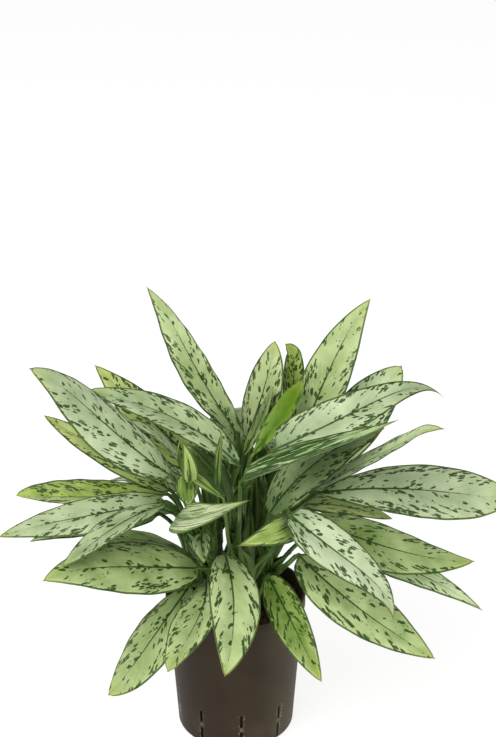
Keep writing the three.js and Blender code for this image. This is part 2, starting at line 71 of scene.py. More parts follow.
# ---- sizes in millimetres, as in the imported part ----
POT = Values(
    height=195, rim_radius=90, rim_height=18, wall_top_radius=87.3, base_radius=75.5,
    corner_radius=6, inner_top_radius=86.6, inner_floor_radius=71.5, floor=3.5,
    edge_round=1, bevel=((1, 0), (0.3, 0.3), (0, 1)), sides=192, corner_steps=9, wall_start=0.08,
    wall_steps=12, sharp_angle=35,
)
SLOTS = Values(
    count=9, pitch=40, first_turn=-84.4, width=2.6, depth=20, upper=(29, 52.5), lower=(6, 25.5),
)
# Thin moulding flash that still closes the lower end of each upper slot.
FLASH = (29, 34.5)
SUBSTRATE = Values(top=181, gap=0.35)
CANE = Values(radius=7, tip_length=12, foot=118)

CANES = {
    "left": ((-42, 8), (-46, 10), 300),
    "left_front": ((-24, -36), (-31, -43), 316),
    "middle": ((-4, 4), (-2, 0), 345),
    "front": ((18, -40), (18, -48), 282),
    "right": ((40, 4), (44, 4), 318),
    "right_back": ((30, 42), (36, 46), 325),
    "left_back": ((-22, 42), (-26, 48), 318),
}

# One row a leaf: the cane and the height where the petiole leaves it, the turn
# that swings that place sideways, the ends of the blade, its width, how the
# midrib bows up and sideways, the roll about it, the drop of the tip, the V of
# the two halves, the place of the widest part, the lead of the petiole's top,
# the name of the leaf's colouring, and how pale it is, from 0 to 1.
# Each leaf's paleness is partly its own and partly painted light and shade, raised or lowered by how lit
# the leaf looks in its place.
LEAF_COLUMNS = "name cane foot swing base tip width lift side roll hook fold belly bend look tint"
Leaf = namedtuple("Leaf", LEAF_COLUMNS)
LEAVES = [Leaf(*row) for row in (
    ("leaf_01_top_left", "middle", 320, 8, (4, 31, 403), (-105, 3, 613),
     68, -8, -5, 37, 16, 8, 0.4, (0.4, 0, 0), "turned", 0.62),
    ("leaf_02_left_up", "left_front", 286, -17, (-75, -63, 391), (-245, -36, 524),
     80, -18, 17, -17, 24, 5, 0.42, (0.15, -0.15, 0.15), "silver", 0.66),
    ("leaf_03_left_back", "left_back", 271, 11, (-39, 43, 346), (-181, 115, 460),
     62, -1, -4, -30, 4, 16, 0.37, (0.25, 0, 0.1), "yellow", 0.6),
    ("leaf_04_left_over", "middle", 287, -12, (6, -35, 391), (-181, 26, 467),
     62, 9, 24, -11, -10, 22, 0.46, (0.6, -0.45, -0.4), "silver", 0.5),
    ("leaf_05_left_mid", "left", 274, -13, (-57, 8, 336), (-141, 14, 431),
     53, 15, 7, 12, 4, 19, 0.43, (0.15, -0.1, 0), "bright", 1),
    ("leaf_06_left_low", "left", 254, 20, (-79, -2, 339), (-238, 25, 432),
     57, 3, -3, -9, -4, 17, 0.42, (0.1, 0, 0.1), "yellow", 0.95),
    ("leaf_07_left_far", "left", 241, 10, (-86, 30, 318), (-289, 96, 280),
     64, -2, -4, 64, 3, 26, 0.51, (0.15, 0, 0.25), "turned_yellow", 0.42),
    ("leaf_08_left_flat", "left", 222, 9, (-86, 6, 320), (-299, -12, 279),
     67, -3, 7, -17, 6, 14, 0.39, (0.15, 0, 0.25), "silver", 0.64),
    ("leaf_09_left_under", "left", 202, -2, (-96, 21, 294), (-267, 38, 243),
     55, 4, 0, -14, 7, 17, 0.37, (0.1, 0, 0.2), "silver", 1),
    ("leaf_10_left_turned", "left_front", 263, -11, (-84, -55, 349), (-204, -146, 317),
     52, 16, -1, 5, -11, 19, 0.46, (0.05, 0.1, 0.15), "silver", 0.45),
    ("leaf_11_low_left", "left_front", 229, 58, (-42, -78, 273), (-227, -156, 302),
     78, 2, -2, -28, 20, 11, 0.41, (0, -0.1, -0.2), "warm", 0.4),
    ("leaf_12_low_left_back", "left", 193, 11, (-45, -15, 243), (-195, -83, 305),
     59, 20, 1, 2, 2, 17, 0.42, (0.2, 0, 0.05), "warm", 0.25),
    ("leaf_13_lower_left", "left_front", 209, -23, (-54, -63, 242), (-157, -131, 123),
     70, 12, -11, -9, -9, 7, 0.49, (0.25, 0.15, 0.4), "warm", 0.5),
    ("leaf_14_lower_left_in", "left_front", 195, 18, (-36, -56, 243), (-78, -217, 215),
     70, 12, -16, 19, 11, 21, 0.53, (-0.1, 0.5, 0.2), "warm", 0.5),
    ("leaf_15_front", "front", 219, -16, (-13, -67, 288), (-11, -235, 221),
     72, 8, -11, -21, -2, 22, 0.41, (-0.15, 0.25, 0.3), "bold", 0.55),
    ("leaf_16_front_right", "front", 204, 9, (41, -57, 250), (104, -192, 184),
     51, 10, 4, 43, -2, 24, 0.41, (-0.1, 0.5, 0.3), "yellow", 0.15),
    ("leaf_17_lower_right", "right", 204, 10, (77, -66, 286), (242, -156, 193),
     80, -4, 8, 26, 3, 22, 0.38, (0, 0.2, 0.9), "bold", 0.5),
    ("leaf_18_right_arched", "right", 226, -20, (65, -99, 361), (191, -142, 238),
     68, -6, -1, 21, 40, 18, 0.32, (-0.7, -1.2, 0.5), "silver", 0.85),
    ("leaf_19_right_mid", "right", 240, 8, (92, -1, 303), (296, -66, 276),
     74, 2, 19, 22, -8, 6, 0.38, (-0.05, 0.15, 0.2), "warm", 0.34),
    ("leaf_20_right_between", "right_back", 222, -12, (85, 38, 298), (202, 35, 279),
     54, 9, 1, 0, -3, 18, 0.42, (-0.1, 0, 0.15), "yellow", 0.75),
    ("leaf_21_right_far", "right_back", 246, -10, (103, 19, 325), (348, 6, 327),
     80, 11, -8, 32, -15, 11, 0.6, (-0.1, -0.05, 0.15), "silver", 0.72),
    ("leaf_22_right_pale", "right", 218, -4, (105, 0, 282), (310, -62, 202),
     55, 4, 3, 13, 10, 15, 0.34, (0.1, 0, 0.5), "bright", 1),
    ("leaf_23_top_mid", "left_back", 300, -4, (14, 38, 391), (50, 75, 511),
     58, -3, 2, 3, 0, 13, 0.47, (0, -0.05, 0), "warm", 0.75),
    ("leaf_24_rolled", "middle", 338, 7, (21, -6, 391), (84, 55, 465),
     30, 8, 10, 14, 2, 24, 0.57, (-0.15, -0.45, -0.1), "lime", 0.32),
    ("leaf_25_top_narrow", "middle", 304, 3, (10, 18, 378), (48, 37, 467),
     33, -2, 1, -7, 0, 18, 0.43, (-0.15, -0.1, 0.05), "warm", 0.12),
    ("leaf_26_top_small", "right_back", 306, 0, (63, 63, 392), (74, 98, 498),
     33, -3, 4, -19, 0, 16, 0.62, (0, 0, 0), "turned_yellow", 0.42),
    ("leaf_27_top_right", "right_back", 287, -2, (82, 40, 390), (169, 88, 563),
     66, 4, 1, 27, 10, 13, 0.37, (0, 0, 0), "warm", 0.58),
    ("leaf_28_right_up", "middle", 318, -10, (46, -25, 408), (263, 65, 438),
     64, 14, 29, 36, 51, 25, 0.21, (0, 0.3, 0), "silver", 0.62),
    ("leaf_29_right_back", "right_back", 266, 12, (105, 36, 336), (214, 121, 456),
     73, 12, 5, 28, 0, 18, 0.49, (-0.05, -0.45, -0.1), "bright", 0.75),
    ("leaf_30_right_shade", "right", 247, -8, (41, -20, 314), (186, 15, 419),
     68, 17, -3, 25, 2, 18, 0.4, (-0.15, -0.1, 0.05), "shade", 0.5),
    ("leaf_31_right_edge", "front", 258, -20, (6, -82, 395), (193, -93, 484),
     60, 0, 2, 1, -4, 37, 0.28, (-0.75, 0.1, 0.9), "split", 0.4),
    ("leaf_32_right_slim", "right", 275, 7, (57, 20, 303), (236, -80, 472),
     53, -2, -20, 10, -4, 20, 0.53, (-0.3, 0.25, 0.1), "bright", 0.55),
    ("leaf_33_small_left", "front", 247, -52, (-13, -101, 383), (-63, -105, 462),
     26, -15, 24, -24, -10, 15, 0.43, (0.4, 0.1, 0.6), "young", 0.5),
    ("leaf_34_small_hanging", "left_front", 288, 6, (-57, -78, 404), (-54, -87, 365),
     32, 3, 2, 1, -1, 17, 0.36, (-0.3, 0.3, 0.8), "striped", 0.2),
    ("leaf_35_small_dark", "middle", 262, -20, (-7, -60, 354), (-64, -46, 430),
     42, 13, 4, 43, 2, 15, 0.43, (0, 0, 0), "olive", 0.3),
    ("leaf_36_rolled_thin", "left_front", 304, 0, (-20, -82, 386), (-14, -70, 458),
     11, 3, -1, -3, 1, 18, 0.42, (0, -0.1, 0.2), "spear", 0.4),
    ("leaf_37_pale_hanging", "left_front", 247, -12, (-69, -94, 354), (18, -127, 395),
     48, 4, 30, 25, 4, 19, 0.24, (-0.1, 0.05, 0.05), "cream", 0.35),
    ("leaf_38_small_front", "left_front", 242, 17, (-40, -74, 320), (-37, -106, 297),
     28, 9, 2, 17, 0, 18, 0.39, (0.05, 0.4, 0.25), "silver", 0.2),
    ("leaf_39_arched_right", "front", 241, 21, (65, -69, 333), (5, -135, 338),
     39, 13, -25, -48, 1, 15, 0.36, (0.05, 0.1, 0.05), "striped", 0.35),
    ("leaf_40_back_left_low", "left_back", 225, 0, (-64, 86, 290), (-184, 190, 240),
     68, 14, 4, 6, 10, 16, 0.42, (0.05, -0.05, 0.1), "silver", 0.6),
    ("leaf_41_back_left", "left_back", 248, 0, (-42, 98, 300), (-96, 262, 262),
     70, 12, -4, -6, 12, 16, 0.42, (0.05, -0.05, 0.1), "silver", 0.5),
    ("leaf_42_back_right_low", "right_back", 206, 30, (70, 84, 262), (176, 196, 196),
     70, 16, -4, -8, 10, 16, 0.42, (0, -0.1, 0.15), "silver", 0.5),
    ("leaf_43_back_right", "right_back", 238, 0, (48, 104, 296), (84, 272, 270),
     68, 12, 6, 6, 12, 17, 0.42, (-0.05, 0, 0.05), "silver", 0.3),
    ("leaf_44_back_left_side", "left", 214, -30, (-80, 64, 271), (-236, 134, 217),
     66, 14, 3, 5, 8, 16, 0.42, (0.1, 0.1, 0.05), "silver", 0.5),
    ("leaf_45_back_right_side", "right_back", 202, -12, (98, 64, 275), (248, 116, 241),
     68, 14, -3, -5, 8, 16, 0.42, (0, -0.05, 0.05), "silver", 0.5),
    ("leaf_46_back_middle", "middle", 267, 0, (0, 92, 338), (-6, 240, 330),
     66, 20, 0, 0, 12, 17, 0.42, (0, 0.05, -0.05), "silver", 0.25),
    ("leaf_47_back_low", "left_back", 200, -6, (0, 88, 242), (-4, 226, 168),
     66, 18, 0, 0, 8, 17, 0.42, (0.15, -0.1, 0.1), "silver", 0.5),
    ("leaf_48_back_upper_left", "left_back", 288, 20, (-36, 88, 346), (-128, 190, 364),
     62, 16, 3, 4, 12, 17, 0.42, (0, 0, 0), "silver", 1),
    ("leaf_49_back_upper_right", "right_back", 266, 25, (60, 98, 344), (146, 196, 368),
     62, 16, -3, -4, 12, 17, 0.42, (0, 0, 0), "silver", 0.5),
    ("leaf_50_back_upper_mid", "right_back", 310, 40, (34, 84, 372), (54, 208, 390),
     56, 14, 0, 0, 14, 17, 0.42, (0, 0, 0), "silver", 0.5),
)]

# The small growth inside the plant, which the imported part leaves out: small leaves
# in the shade, and young, still folded ones between the petioles. Most are coloured
# dark as painted shade.
INNER_LEAVES = [Leaf(*row) for row in (
    ("inner_leaf_dark", "middle", 240, 0, (-2, -36, 350), (-63, -28, 417),
     41, 2, 0, -58, 0, 10, 0.44, (0, 0, 0), "olive", 0.3),
    ("inner_leaf_back", "left_back", 262, 0, (6, 50, 291), (10, 66, 383),
     64, 6, 0, 0, 4, 12, 0.45, (0, 0, 0), "olive", 0.1),
    ("inner_leaf_side", "right_back", 262, 0, (34, 60, 286), (34, 70, 375),
     40, 4, 0, 0, 4, 12, 0.45, (0, 0, 0), "olive", 0.1),
    ("inner_leaf_low", "middle", 192, 0, (10, 25, 214), (10, 34, 288),
     38, 4, 0, 0, 2, 12, 0.45, (0, 0, 0), "olive", 0.1),
    ("inner_shoot_middle", "middle", 262, 0, (14, 10, 292), (19, 30, 387),
     17, 0, 2, 0, 2, 42, 0.4, (0, 0, 0.3), "spear", 0.5),
    ("inner_shoot_right", "right_back", 228, 0, (24, 20, 264), (26, 34, 350),
     19, 0, -2, 10, 2, 40, 0.4, (0, 0, 0.3), "spear", 0.3),
    ("inner_shoot_low", "front", 205, 0, (15, 0, 239), (19, 20, 308),
     20, 0, 2, -10, 2, 40, 0.4, (0, 0, 0.3), "spear", 0.6),
    ("inner_shoot_left", "left_front", 262, 0, (-37, -10, 303), (-44, 0, 357),
     20, 0, 2, 10, 2, 38, 0.4, (0, 0, 0.3), "spear", 0.4),
    ("inner_shoot_back", "left_back", 276, 0, (-12, 30, 309), (-9, 44, 371),
     16, 0, 0, 0, 2, 40, 0.4, (0, 0, 0.3), "spear", 0.5),
    ("inner_shoot_far", "middle", 212, 0, (1, 40, 238), (6, 60, 337),
     20, 0, 0, 0, 2, 40, 0.4, (0, 0, 0.3), "spear", 0.3),
    ("inner_leaf_hood", "left_front", 296, 0, (-52, -96, 402), (-64, -106, 467),
     21, 3, 0, -105, 2, 20, 0.17, (0.2, -1, 0), "young", 0.75),
    ("inner_leaf_hanging", "left_front", 226, 30, (-61, -84, 327), (-44, -96, 295),
     19, 3, 0, 0, 2, 20, 0.42, (-0.3, -0.2, 0.6), "shade", 0.3),
)]

# Tips that bend away or end in a thin point: where the bend starts, and how far
# it carries the end of the midrib.
TIP_BENDS = {
    "leaf_26_top_small": (0.86, (-11, 0, -1)),
    "leaf_32_right_slim": (0.9, (13, 0, -7)),
}

LEAF = Values(
    cup=0.25, outline_power=1.5, hook_power=6, tip_half_width=0.6,
    petiole_radius=1.4, petiole_radius_per_width=0.02, petiole_widen=1.35,
    petiole_bow=0.4, petiole_neck=0.35, foot_outward=0.45, foot_upward=0.9,
    neck_along=0.75, neck_upward=0.25, cane_gap=0.35,
)
# What the fine blade adds to that form. calm is the share at the base and at the
# tip where the waves die out, and full the half widths where waves and rib are whole.
BLADE = Values(
    stations=84, crowding=1.15, neck_share=0.05, mid_thickness=0.6, edge_thickness=0.3,
    rib_depth=1.3, rib_half_width=1.3, groove_depth=0.3, groove_half_width=1.0,
    fold_round=0.035, wave_height=0.45, wave_length=46, quilt_height=0.16, quilt_pitch=9.5,
    first_growth=0.02, tip_start=0.97, tip_length=0.03, tip_end=1.004, tip_point=0.12,
    calm=(0.15, 0.12), full_wave=25, full_rib=8,
)
WAVE_PACES = (0.8, 1.35)
LARGEST_SEED = 900
PETIOLE = Values(steps=22, groove=0.3, groove_width=0.5, seam_turn=0.04, sunk=3.0)
# wrap, wrap_below and wing are half angles: at the foot, under it and at the top.
SHEATH = Values(
    below=9, longest=46, share=0.42, steps=12, arc_steps=12, thickness=0.9, edge=0.25,
    samples=40, off_cane=0.6, off_stalk=0.3, wrap=120, wrap_below=172, wing=62, faintest=0.4,
)
# The distance to the edge that is noted where there is no blade.
NO_EDGE = 50.0

# Columns across one face of a blade, from edge to edge, closest at rib and edge.
HALF_COLUMNS = (0.045, 0.1, 0.19, 0.3, 0.42, 0.55, 0.68, 0.8, 0.9, 0.965, 1.0)
COLUMNS = np.array([-s for s in reversed(HALF_COLUMNS)] + [0.0] + list(HALF_COLUMNS))
# A section runs across the upper face and back across the lower one.
UPPER = np.repeat([1.0, 0.0], len(COLUMNS))

# Veins leave the midrib steeply and bend towards the tip.
VEIN_SLOPE = 1.7
VEIN_BEND = 1.0

UP = np.array([0.0, 0.0, 1.0])


# ---- small helpers ----
def unit(vectors):
    length = np.linalg.norm(vectors, axis=-1, keepdims=True)
    return vectors / np.maximum(length, 1e-12)


def mix(low, high, share):
    return low + (high - low) * share


def smooth(share):
    share = np.clip(share, 0, 1)
    return share * share * (3 - 2 * share)


def there_and_back(values):
    """A row of values, and the same row reversed after it."""
    return np.concatenate([values, values[::-1]])


def steps_along(places):
    """How far along a row of places each one lies."""
    return np.concatenate([[0], np.cumsum(np.linalg.norm(np.diff(places, axis=0), axis=1))])


def circle(sides):
    turn = np.linspace(0, 2 * pi, sides, endpoint=False)
    return turn, np.stack([np.cos(turn), np.sin(turn), np.zeros(sides)], 1)


def linear_color(color):
    """Blender's linear RGBA for display values from 0 to 255. A colour made by nodes stays as it is."""
    if not isinstance(color, tuple):
        return color
    shares = [value / 255 for value in color]
    return (*(s / 12.92 if s <= 0.04045 else ((s + 0.055) / 1.055) ** 2.4 for s in shares), 1.0)


def columns(*values):
    """Rows of points from their columns. A single number fills its column."""
    return np.stack(np.broadcast_arrays(*values), 1)


def grid_faces(rings, points):
    """Quads between closed rings that each hold the same number of points."""
    faces = []
    for ring in range(rings - 1):
        low = ring * points
        high = low + points
        for side in range(points):
            after = (side + 1) % points
            faces.append((low + side, low + after, high + after, high + side))
    return faces


def loft(rings):
    """Points and faces of a closed body through rings of the same length, capped flat."""
    count = len(rings[0])
    faces = grid_faces(len(rings), count)
    last = (len(rings) - 1) * count
    faces.append(tuple(reversed(range(count))))
    faces.append(tuple(range(last, last + count)))
    return np.concatenate(rings), faces


def join_parts(parts):
    """Joins (points, faces) pairs into one pair."""
    points = []
    faces = []
    start = 0
    for part_points, part_faces in parts:
        points.append(part_points)
        faces.extend(tuple(start + i for i in face) for face in part_faces)
        start += len(part_points)
    return np.concatenate(points), faces


def add_object(name, data):
    made = bpy.data.objects.new(name, data)
    bpy.context.scene.collection.objects.link(made)
    return made


def make_mesh(name, points, faces):
    """A mesh in metres from points in millimetres."""
    mesh = bpy.data.meshes.new(name)
    mesh.from_pydata([tuple(p) for p in np.asarray(points) * MM], [], faces)
    return mesh


def make_piece(name, points, faces, material, slot, *nodes, sharp_angle=None):
    """A shaded mesh that rides on the part and stands for the named CAD nodes."""
    mesh = make_mesh(name, points, faces)
    mesh.polygons.foreach_set("use_smooth", [True] * len(mesh.polygons))
    if sharp_angle:
        mesh.set_sharp_from_angle(angle=radians(sharp_angle))
    mesh.materials.append(material)
    piece = add_object(name, mesh)
    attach(piece, BODY)
    if nodes:
        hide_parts(*nodes)
    return piece


def write_attribute(mesh, name, *values):
    """Stores three numbers for each point of a mesh, for its material to read."""
    layer = mesh.attributes.new(name, "FLOAT_VECTOR", "POINT")
    layer.data.foreach_set("vector", columns(*values).astype(np.float32).ravel())


# ---- material helpers ----
class Number:
    """A number in a material. Sums and products of such numbers become Math nodes."""

    def __init__(self, shader, socket):
        self.shader = shader
        self.socket = socket

    def calc(self, operation, *others):
        made = self.shader.node("ShaderNodeMath", dict(enumerate((self, *others))), operation=operation)
        return Number(self.shader, made.outputs[0])

    __add__ = partialmethod(calc, "ADD")
    __sub__ = partialmethod(calc, "SUBTRACT")
    __mul__ = partialmethod(calc, "MULTIPLY")
    __truediv__ = partialmethod(calc, "DIVIDE")
    __abs__ = partialmethod(calc, "ABSOLUTE")

    def fade(self, start, end, before=0.0, after=1.0):
        """Goes smoothly from before to after while this number goes from start to end."""
        made = self.shader.node("ShaderNodeMapRange", {
            "Value": self, "From Min": start, "From Max": end, "To Min": before, "To Max": after,
        }, interpolation_type="SMOOTHSTEP")
        return Number(self.shader, made.outputs["Result"])

    def band(self, low, high, before, past):
        """Is 1 from low to high, and fades out before and past them."""
        return self.fade(low - before, low) * self.fade(high, high + past, 1.0, 0.0)


class Shader:
    """A material and short names for the nodes that it is made of."""

    def __init__(self, name):
        self.material = bpy.data.materials.new(name)
        self.material.use_nodes = True
        self.tree = self.material.node_tree
        self.surface = self.tree.nodes["Principled BSDF"]

    def node(self, kind, inputs, **settings):
        made = self.tree.nodes.new(kind)
        for key, value in settings.items():
            setattr(made, key, value)
        for key, value in inputs.items():
            self.put(made.inputs[key], value)
        return made

    def put(self, socket, value):
        if isinstance(value, Number):
            value = value.socket
        if isinstance(value, bpy.types.NodeSocket):
            self.tree.links.new(value, socket)
        else:
            socket.default_value = value

    def set(self, **values):
        for key, value in values.items():
            self.put(self.surface.inputs[key.replace("_", " ")], value)

    def paint(self, base, *layers):
        """Covers a colour with layers, each a share from 0 to 1 and a colour."""
        for share, color in layers:
            inputs = {0: share, 6: linear_color(base), 7: linear_color(color)}
            base = self.node("ShaderNodeMix", inputs, data_type="RGBA").outputs[2]
        return base

    def noise_node(self, place, scale, detail=2.0, roughness=0.5):
        return self.node("ShaderNodeTexNoise", {
            "Vector": place, "Scale": scale, "Detail": detail, "Roughness": roughness,
        })

    def noise(self, place, *settings):
        return Number(self, self.noise_node(place, *settings).outputs["Fac"])

    def cells(self, x, y):
        """Scattered points, one to a unit square: distance to the nearest, and its chance number."""
        made = self.node("ShaderNodeTexVoronoi", {
            "Vector": self.vector(x, y), "Scale": 1.0,
        }, voronoi_dimensions="2D")
        return Number(self, made.outputs["Distance"]), self.split(made.outputs["Color"], "Color")[0]

    def vector(self, x, y, z=0.0):
        return self.node("ShaderNodeCombineXYZ", {"X": x, "Y": y, "Z": z}).outputs[0]

    def split(self, whole, kind="XYZ"):
        """The three numbers of a vector or a colour."""
        made = self.node("ShaderNodeSeparate" + kind, {0: whole})
        return [Number(self, output) for output in made.outputs]

    def parts(self, name):
        """The three numbers that a mesh attribute holds."""
        return self.split(self.node("ShaderNodeAttribute", {}, attribute_name=name).outputs["Vector"])

    def object_place(self):
        return self.node("ShaderNodeTexCoord", {}).outputs["Object"]

    def bump(self, height, distance, strength):
        made = self.node("ShaderNodeBump", {"Height": height, "Distance": distance, "Strength": strength})
        self.put(self.surface.inputs["Normal"], made.outputs[0])


# ---- leaf colouring ----
# Flecks: the pitch of the broad and the fine ones across the veins and along them, in
# millimetres, how ragged, soft and large they are in shares of that pitch, and how
# quickly they reach that size. in_rows, rows_of_zone and in_zone say how crowded they
# are in the rows, in rows near the margin or the midrib, and in that zone itself.
FLECKS = Values(
    broad=(4.3, 9.4), fine=(2.4, 4.6), ragged=0.66, hard=-0.04, soft=0.17, largest=0.54,
    growth=3.0, rounder=1.3, in_rows=0.42, rows_of_zone=0.52, in_zone=0.17, few_fine=0.35,
    row_stretch=0.22, line_stretch=0.3, between_halves=60,
)
# Noise in the leaf's own millimetres: scale, detail and roughness.
NOISES = Values(
    rows=(0.1, 1.0), wobble=(0.34, 1.5), patches=(0.035,), stripes=(0.16, 1.0), streaks=(0.42, 2.0, 0.55),
    ragged=(0.28, 2.0, 0.6), grain=(1.1, 2.0, 0.6), stalk=(0.7, 2.0, 0.6),
)
# How much such noise is stretched across or along the leaf.
STRETCH = Values(stripes=0.12, streaks=0.06, stalk=0.05)
# How shares change over the leaf: where the change starts and ends, and the values
# before and after it. Distances are in millimetres.
FADES = Values(
    rows=(0.44, 0.56), to_margin=(0.45, 0.75), at_margin=(0.9, 0.97, 1, 0.3),
    beside_rib=(2, 7, 0.6, 0), rib_crowd=(0.3, 0.6, 1, 0), fewer_at_tip=(0.65, 0.95, 1, 0.6),
    pale_middle=(0, 0.8, -0.74, -0.58), foot=(0, 0.24, 0.55, 0), tip=(0.8, 1),
    streaks=(0.52, 0.62, 1, 0), rib_width=(0, 1, 1.9, 0.6), rib_side=(0, 0.6), rim=(2.4, 3.1, 1, 0),
    inner_line=(3.8, 5.2, 0.4, 0), under_rib=(0.8, 2, 0.4, 0), upper=(0.3, 0.7), blade=(0.35, 1),
    stalk=(0.48, 0.72),
)
# How strongly each layer covers what is under it, how noise moves the borders, and the
# gloss and relief of the skin. Widths and pitches are millimetres.
SKIN = Values(
    narrowest=0.5, contrast=0.85, stripes=0.3, marks=0.93, rib=0.9, rim=0.85, sheath=0.5,
    green_before=0.15, green_past=0.25, hem_ragged=0.8, rib_ragged=1.2, rib_back=-0.6,
    rib_end=0.1, rib_end_ragged=0.25, rib_end_back=-0.12, rib_faint=0.15, smoothest=0.38,
    rougher=0.14, specular=0.22, vein_pitch=6.5, veins=0.25, relief=0.3, strength=0.5,
)
# ground and pale are the greens of the upper face between which a leaf's tint
# chooses, fleck the dark marks, under the lower face, stalk the petiole. dark is
# how crowded the marks are, rib how far the dark midrib runs, lines how strongly
# marks stretch along the leaf and line_pace how close such lines stand, round how
# large they are, green how far the leaf's foot is plain dark green, foot the darker
# colour at the base, which is painted shade where the leaves crowd together, tip and
# tip_share the colour of the tip, through how clearly the lower face shows the marks,
# and hem how clear the margin is.
LOOKS = {
    "silver": dict(ground=(108, 134, 76), pale=(208, 223, 182), under=(128, 156, 96)),
    "warm": dict(ground=(104, 132, 62), pale=(204, 220, 160), under=(124, 154, 82)),
    "bold": dict(ground=(98, 132, 50), pale=(222, 238, 178), under=(120, 152, 78), round=1.0, rib=0.8),
    "yellow": dict(ground=(98, 128, 42), pale=(212, 226, 146), under=(116, 148, 58),
                   tip_share=0.7, dark=1.2, rib=0.8),
    # A paler copy of the leaf colouring: painted light on leaves that lie in the shade of others.
    "bright": dict(ground=(146, 172, 112), pale=(234, 252, 200), under=(128, 156, 96)),
    "turned": dict(ground=(104, 132, 62), pale=(212, 228, 172), under=(170, 190, 130), through=1.0),
    "turned_yellow": dict(ground=(96, 132, 18), pale=(216, 230, 138), under=(150, 176, 96),
                          tip_share=0.7, dark=1.8, through=1.0),
    "lime": dict(ground=(72, 110, 10), pale=(140, 174, 40), fleck=(56, 92, 12), under=(104, 146, 34),
                 stalk=(88, 126, 34), dark=0.3, rib=0.3, lines=0.6, hem=0.25),
    "young": dict(ground=(74, 110, 26), pale=(184, 204, 116), fleck=(50, 86, 22), under=(104, 140, 52),
                  stalk=(84, 108, 44), dark=0.8, rib=0.5, lines=0.7),
    # A darker copy of the leaf colouring: painted shade for leaves that lie under others.
    "shade": dict(ground=(74, 100, 46), pale=(174, 196, 140), under=(66, 98, 46), dark=1.3),
    # Darker still: painted shade for leaves that lie deep in the plant or under others.
    "olive": dict(ground=(54, 76, 30), pale=(96, 118, 64), under=(52, 74, 36), dark=0.8),
    # Thin rolled shoots, their dark greens painted shade of the plant's middle.
    "spear": dict(ground=(44, 68, 22), pale=(112, 140, 62), under=(44, 68, 24),
                  dark=0.3, lines=1.0, hem=0.4),
    "split": dict(ground=(140, 172, 98), pale=(230, 244, 204), under=(80, 118, 54), tip=(56, 84, 22),
                  tip_share=0.9, dark=1.8, lines=0.85, line_pace=2.2, green=0.62),
    "cream": dict(ground=(158, 176, 122), pale=(220, 228, 192), fleck=(84, 108, 54), under=(160, 176, 126),
                  dark=2.4, rib=0.3, lines=0.95, line_pace=3.4, through=1.0),
    "striped": dict(ground=(92, 128, 36), pale=(212, 226, 140), fleck=(42, 72, 18), under=(150, 180, 84),
                    dark=2.1, rib=0.5, lines=0.95, line_pace=3.4, through=1.0),
}
LOOK_DEFAULTS = dict(
    fleck=(32, 64, 6), stalk=(56, 82, 30), foot=(80, 112, 46), tip=(168, 186, 86),
    streak=(56, 88, 32), rim_tip=(120, 128, 62), inner_line=(190, 208, 132),
    stalk_stripe=(114, 144, 74), sheath=(98, 122, 58), tip_share=0.4, dark=1.0,
    rib=0.76, lines=0.0, line_pace=1.5, round=0.0, green=0.0, through=0.7, hem=1.0,
)


def vein_places(across, along, edge):
    """Distance out from the midrib, share of the way to the edge, and place along the vein fan."""
    out = abs(across)
    share = out / (out + edge).calc("MAXIMUM", SKIN.narrowest)
    return out, share, along - out * (share * VEIN_BEND + VEIN_SLOPE)


def fleck_layer(shader, crosswise, lengthwise, pitch, ragged, crowd):
    """Ragged spots, one to a cell of the given pitch, more of them where crowd is high."""
    x = ragged[0] * FLECKS.ragged + crosswise / pitch[0]
    y = ragged[1] * FLECKS.ragged + lengthwise / pitch[1]
    distance, chance = shader.cells(x, y)
    size = ((crowd - chance) * FLECKS.growth).calc("MINIMUM", FLECKS.largest)
    return (size - distance).fade(FLECKS.hard, FLECKS.soft)


def leaf_marks(shader, look, seed, across, along, tipward, out, share, fan):
    """Share of dark colour: rows of flecks along the veins, crowded near the margin and the midrib."""
    # Places across and along the veins, or along the whole leaf where a look has lines.
    vein_turn = atan(1 / (VEIN_SLOPE + VEIN_BEND / 2))
    lines = look.lines
    vein_side = sin(vein_turn) * (1 - lines)
    side = across.calc("SIGN") * FLECKS.between_halves + seed
    crosswise = out * (lines * look.line_pace) + (fan * vein_side + side)
    lengthwise = out * vein_side + along * mix(cos(vein_turn), FLECKS.line_stretch, lines)

    # Rows: long soft bands that follow the veins, with clean bands between them.
    row_place = shader.vector(crosswise, lengthwise * FLECKS.row_stretch)
    rows = shader.noise(row_place, *NOISES.rows).fade(*FADES.rows)
    near_edge = share.fade(*FADES.to_margin) * share.fade(*FADES.at_margin)
    near_rib = out.fade(*FADES.beside_rib) * tipward.fade(*FADES.rib_crowd)
    zone = near_edge.calc("MAXIMUM", near_rib)
    crowd = rows * (zone * FLECKS.rows_of_zone + FLECKS.in_rows * look.dark)
    crowd = zone * (FLECKS.in_zone * look.dark) + crowd
    crowd = crowd * tipward.fade(*FADES.fewer_at_tip)

    wobble = shader.noise_node(shader.vector(across, along, seed), *NOISES.wobble)
    ragged = shader.split(wobble.outputs["Color"], "Color")
    size = mix(1.0, FLECKS.rounder, look.round)
    broad = [pitch * size for pitch in FLECKS.broad]
    big = fleck_layer(shader, crosswise, lengthwise, broad, ragged, crowd)
    small = fleck_layer(shader, crosswise, lengthwise, FLECKS.fine, ragged, crowd * FLECKS.few_fine)
    return big.calc("MAXIMUM", small)


